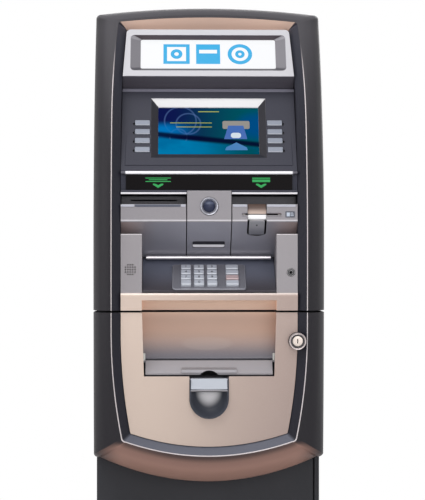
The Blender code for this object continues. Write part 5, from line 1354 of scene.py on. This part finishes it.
PANEL_BOTTOM, PANEL_CORNER, TRAY_TOP = 0.626, 0.648, 0.750
levels = [VAULT_TOP - (VAULT_TOP - PANEL_BOTTOM) * i / 24 for i in range(25)]
panel_front = [(ridge_y(z) + 0.013, z) for z in levels]
panel = across("panel", panel_front + [(y + 0.004, z) for y, z in reversed(panel_front)], panel_half,
               champagne_paint)
belly = [(x, z + 0.0004) for x, z in lower_ways[2] if z <= PANEL_CORNER + 0.007]
below = belly + [(HALF_WIDTH, PANEL_CORNER), (HALF_WIDTH, BELLY_FOOT), (-HALF_WIDTH, BELLY_FOOT),
                 (-HALF_WIDTH, PANEL_CORNER)]
mouth = [(-SHELF_HALF, 0.8715), (-0.1135, TRAY_TOP), (0.1135, TRAY_TOP), (SHELF_HALF, 0.8715)]
BEHIND = -0.21
openings = {"panel_trim": below, "recess_mouth": mouth, "scoop_mouth": scoop_outline(0.0345, TRAY_TOP + 0.005)}
for name, outline in openings.items():
    carve(panel, "DIFFERENCE", upright(name, outline, AHEAD, BEHIND, champagne_paint))
carve(panel, "DIFFERENCE",
      post("panel_lock_room", (LOCK_X, AHEAD, LOCK_Z), (LOCK_X, BEHIND, LOCK_Z), LOCK_HOLE, graphite, sides=64))
settle(soften(panel, 0.0012, 3, champagne_edge_highlight, smooth=26), "lower_panel")


# --- Cash recess
# A vacuum-formed hollow with side walls, a tray and a roof over the note throat. Its upper part is
# painted warm, as if a lamp above lit it, and the foot of the hollow is painted in shade.

eased("dispense_chute", recess_paint_with_painted_light, 0.0005)
for side in (-1, 1):
    clip = raised(f"flap_clip_{'left' if side < 0 else 'right'}", lean_frame((-0.252, 0.770), (-0.252, 0.80)), [
        (rounded(0.0052, 0.0125, 0.0016, (side * 0.1138, 0.0135)), height) for height in (0.0, 0.0060)], zinc)
    settle(soften(clip, 0.0005), "dispense_chute", stands_for=False)
# The flap is lighter where it faces the front: a painted highlight.
flap_metal = key_silver("flap_metal", tone(140, 138, 142), tone(156, 153, 157), (0.55, 0.85), (152, 149, 153))
eased("cash_flap", flap_metal, 0.0008, segments=3)


# --- Finger scoop
# A black moulded bowl under the tray, which leaves room for the fingertips. A bright metal strip caps
# its mouth, over a grey lip.

def bowl_finish():
    """Polished black plastic with a painted highlight: the soft bloom of the room's reflection, high in the bowl."""
    bowl = Finish("bowl_plastic_and_bloom")
    spark = bowl.grain(1600, 1)
    x, z = bowl.along("X"), bowl.along("Z")
    # The bloom is a painted highlight.
    bloom = 1 - ((x * (1 / 0.024)) ** 2 + ((z - 0.724) * (1 / 0.030)) ** 2).rise(0.0, 1.10)
    colour = bowl.blend(bloom, tone(60, 63, 72), tone(253, 250, 251))
    return bowl.surface(colour, 0.40 + spark * 0.06, 0.0, bowl.dents(spark, 0.00003), {"Coat Weight": 0.05})


eased("finger_scoop", bowl_finish(), 0.0006)
# The cap is lighter where it faces the front: a painted highlight.
cap_metal = key_silver("cap_metal", tone(140, 145, 154), tone(178, 182, 190), (0.55, 0.85), (196, 200, 208))
strip_face_low = lean_frame((-0.2705, 0.7270), (-0.2660, 0.7480))
metal_cap = raised("scoop_cap", strip_face_low, [(rounded(0.0655, 0.0195, 0.0030, (0, 0.0102)), height)
                                                 for height in (-0.0035, 0.0)], cap_metal)
settle(soften(metal_cap, 0.0008, 3), "finger_scoop", stands_for=False)
# The lip is painted darker where it turns down and lighter where it turns up: painted light.
lip_grey = plastic_with_painted_light("lip_grey", tone(120, 118, 122), tone(60, 58, 60), tone(166, 164, 168), 0.3)
grey_lip = post("scoop_lip", (-0.0325, -0.2690, 0.7245), (0.0325, -0.2690, 0.7245), 0.0018, lip_grey)
settle(soften(grey_lip, 0.0004), "finger_scoop", stands_for=False)


# --- Lock
# A round cam lock set through the edge of the frame: a dark housing ring and a bright plug with a
# keyhole.

ring_dark = moulded("lock_ring_dark", tone(52, 50, 53), tone(72, 70, 73), 0.3)
ring_metal = plated("lock_ring_metal", tone(164, 152, 152), tone(206, 196, 194), 0.3)
body_profile = [(0.0099, -0.2500), (0.0099, -0.2880), (0.0108, -0.2888), (0.0122, -0.2886), (0.0128, -0.2880),
                (0.0136, -0.2886), (0.0146, -0.2888), (0.0150, -0.2882), (0.0150, -0.2500), (0.0099, -0.2500)]
lock_shell = turned("lock_shell", LOCK_X, LOCK_Z, body_profile, ring_dark, ring_metal, sides=72,
                    bands=[0, 0, 0, 1, 1, 1, 0, 0, 0])
settle(soften(lock_shell, 0, smooth=40), "lock_body")
bright = plated("lock_bright", tone(188, 178, 170), tone(212, 200, 192), 0.3)
plug_profile = [(0, -0.2868), (0.0070, -0.2870), (0.0088, -0.2866), (0.0095, -0.2858), (0.0095, -0.2440), (0, -0.2440)]
plug = turned("plug_core", LOCK_X, LOCK_Z, plug_profile, bright, black_plastic, sides=64)
cam = block("cam", (LOCK_X - 0.006, -0.2485, LOCK_Z - 0.030), (LOCK_X + 0.006, -0.245, LOCK_Z + 0.006), bright)
carve(plug, "UNION", cam)
carve(plug, "DIFFERENCE", block("key_way", (LOCK_X - 0.0008, -0.31, LOCK_Z - 0.004),
                                (LOCK_X + 0.0008, -0.27, LOCK_Z + 0.004), black_plastic))
settle(soften(plug, 0, smooth=35), "lock_plug")


# --- Room
# A pale plain floor and backdrop in soft light, with the camera level at the height of the keypad.

PAPER = {"Color": (1.0, 1.0, 1.0, 1.0), "Strength": 1.0}


def seen_direct(room):
    """1 for what is seen straight, in a mirror finish or through glass, and 0 for the light on the machine."""
    camera_ray, glossy_ray, clear_ray = (room.add("ShaderNodeLightPath", {}, {}, kind) for kind in (
        "Is Camera Ray", "Is Glossy Ray", "Is Transmission Ray"))
    return camera_ray.most(glossy_ray).most(clear_ray)


def floor_finish():
    """Plain pale paint. It fades to the paper white of the backdrop, and keeps the shadow near the machine."""
    room = Finish("floor_paint")
    mottle = room.grain(2, 1)
    pale = room.blend(mottle * 0.04, tone(238, 238, 239), tone(228, 228, 230))
    paint = room.add("ShaderNodeBsdfPrincipled", {}, {"Base Color": pale, "Roughness": 0.9,
                                                      "Specular IOR Level": 0.0}, "BSDF")
    paper = room.add("ShaderNodeEmission", {}, PAPER)
    x, y = room.along("X"), room.along("Y")
    away = (x * x + y * y) ** 0.5
    share = seen_direct(room) * (away.rise(0.3, 1.6) * 0.45 + 0.55)
    shader = room.add("ShaderNodeMixShader", {}, {0: share, 1: paint, 2: paper})
    room.add("ShaderNodeOutputMaterial", {}, {"Surface": shader}, None)
    return room.material


floor_mesh = bpy.data.meshes.new("floor")
floor_mesh.from_pydata([(-30, -30, 0), (30, -30, 0), (30, 30, 0), (-30, 30, 0)], [], [(0, 1, 2, 3)])
floor = bpy.data.objects.new("floor", floor_mesh)
floor_mesh.materials.append(floor_finish())
bpy.context.scene.collection.objects.link(floor)

world = bpy.data.worlds.new("studio")
bpy.context.scene.world = world
sky = Finish("studio", world)
soft = sky.add("ShaderNodeBackground", {}, {"Color": (0.93, 0.95, 1.0, 1.0), "Strength": 0.36})
white = sky.add("ShaderNodeBackground", {}, PAPER)
sky_shader = sky.add("ShaderNodeMixShader", {}, {0: seen_direct(sky), 1: soft, 2: white})
sky.add("ShaderNodeOutputWorld", {}, {"Surface": sky_shader}, None)


def lamp(name, place, aim, size, power):
    light = bpy.data.lights.new(name, "AREA")
    light.shape, light.size, light.size_y = "RECTANGLE", *size
    light.energy = power
    thing = bpy.data.objects.new(name, light)
    thing.location = place
    thing.rotation_euler = (Vector(aim) - Vector(place)).to_track_quat("-Z", "Y").to_euler()
    bpy.context.scene.collection.objects.link(thing)


lamp("ceiling_lamp", (-0.6, -1.6, 3.2), (0, -0.2, 1.0), (2.6, 1.6), 46)
lamp("front_lamp", (0.8, -3.6, 1.6), (0, -0.2, 0.95), (2.4, 2.0), 27)
lamp("left_lamp", (-2.6, -1.2, 1.5), (0, -0.2, 0.95), (1.2, 1.8), 15)
lamp("back_lamp", (0.6, 2.8, 2.2), (0, 0.2, 0.9), (2.2, 1.8), 34)
lamp("right_lamp", (2.6, -0.8, 1.5), (0, -0.1, 0.9), (1.2, 1.8), 9)

lens_data = bpy.data.cameras.new("camera")
lens_data.lens, lens_data.sensor_width = 123.4, 36.0
camera = bpy.data.objects.new("camera", lens_data)
camera.location = (-0.065, -3.25, 0.970)
camera.rotation_euler = (math.pi / 2, 0.0, math.radians(-1.36))
bpy.context.scene.collection.objects.link(camera)
bpy.context.scene.camera = camera
bpy.context.scene.view_settings.view_transform = "Standard"
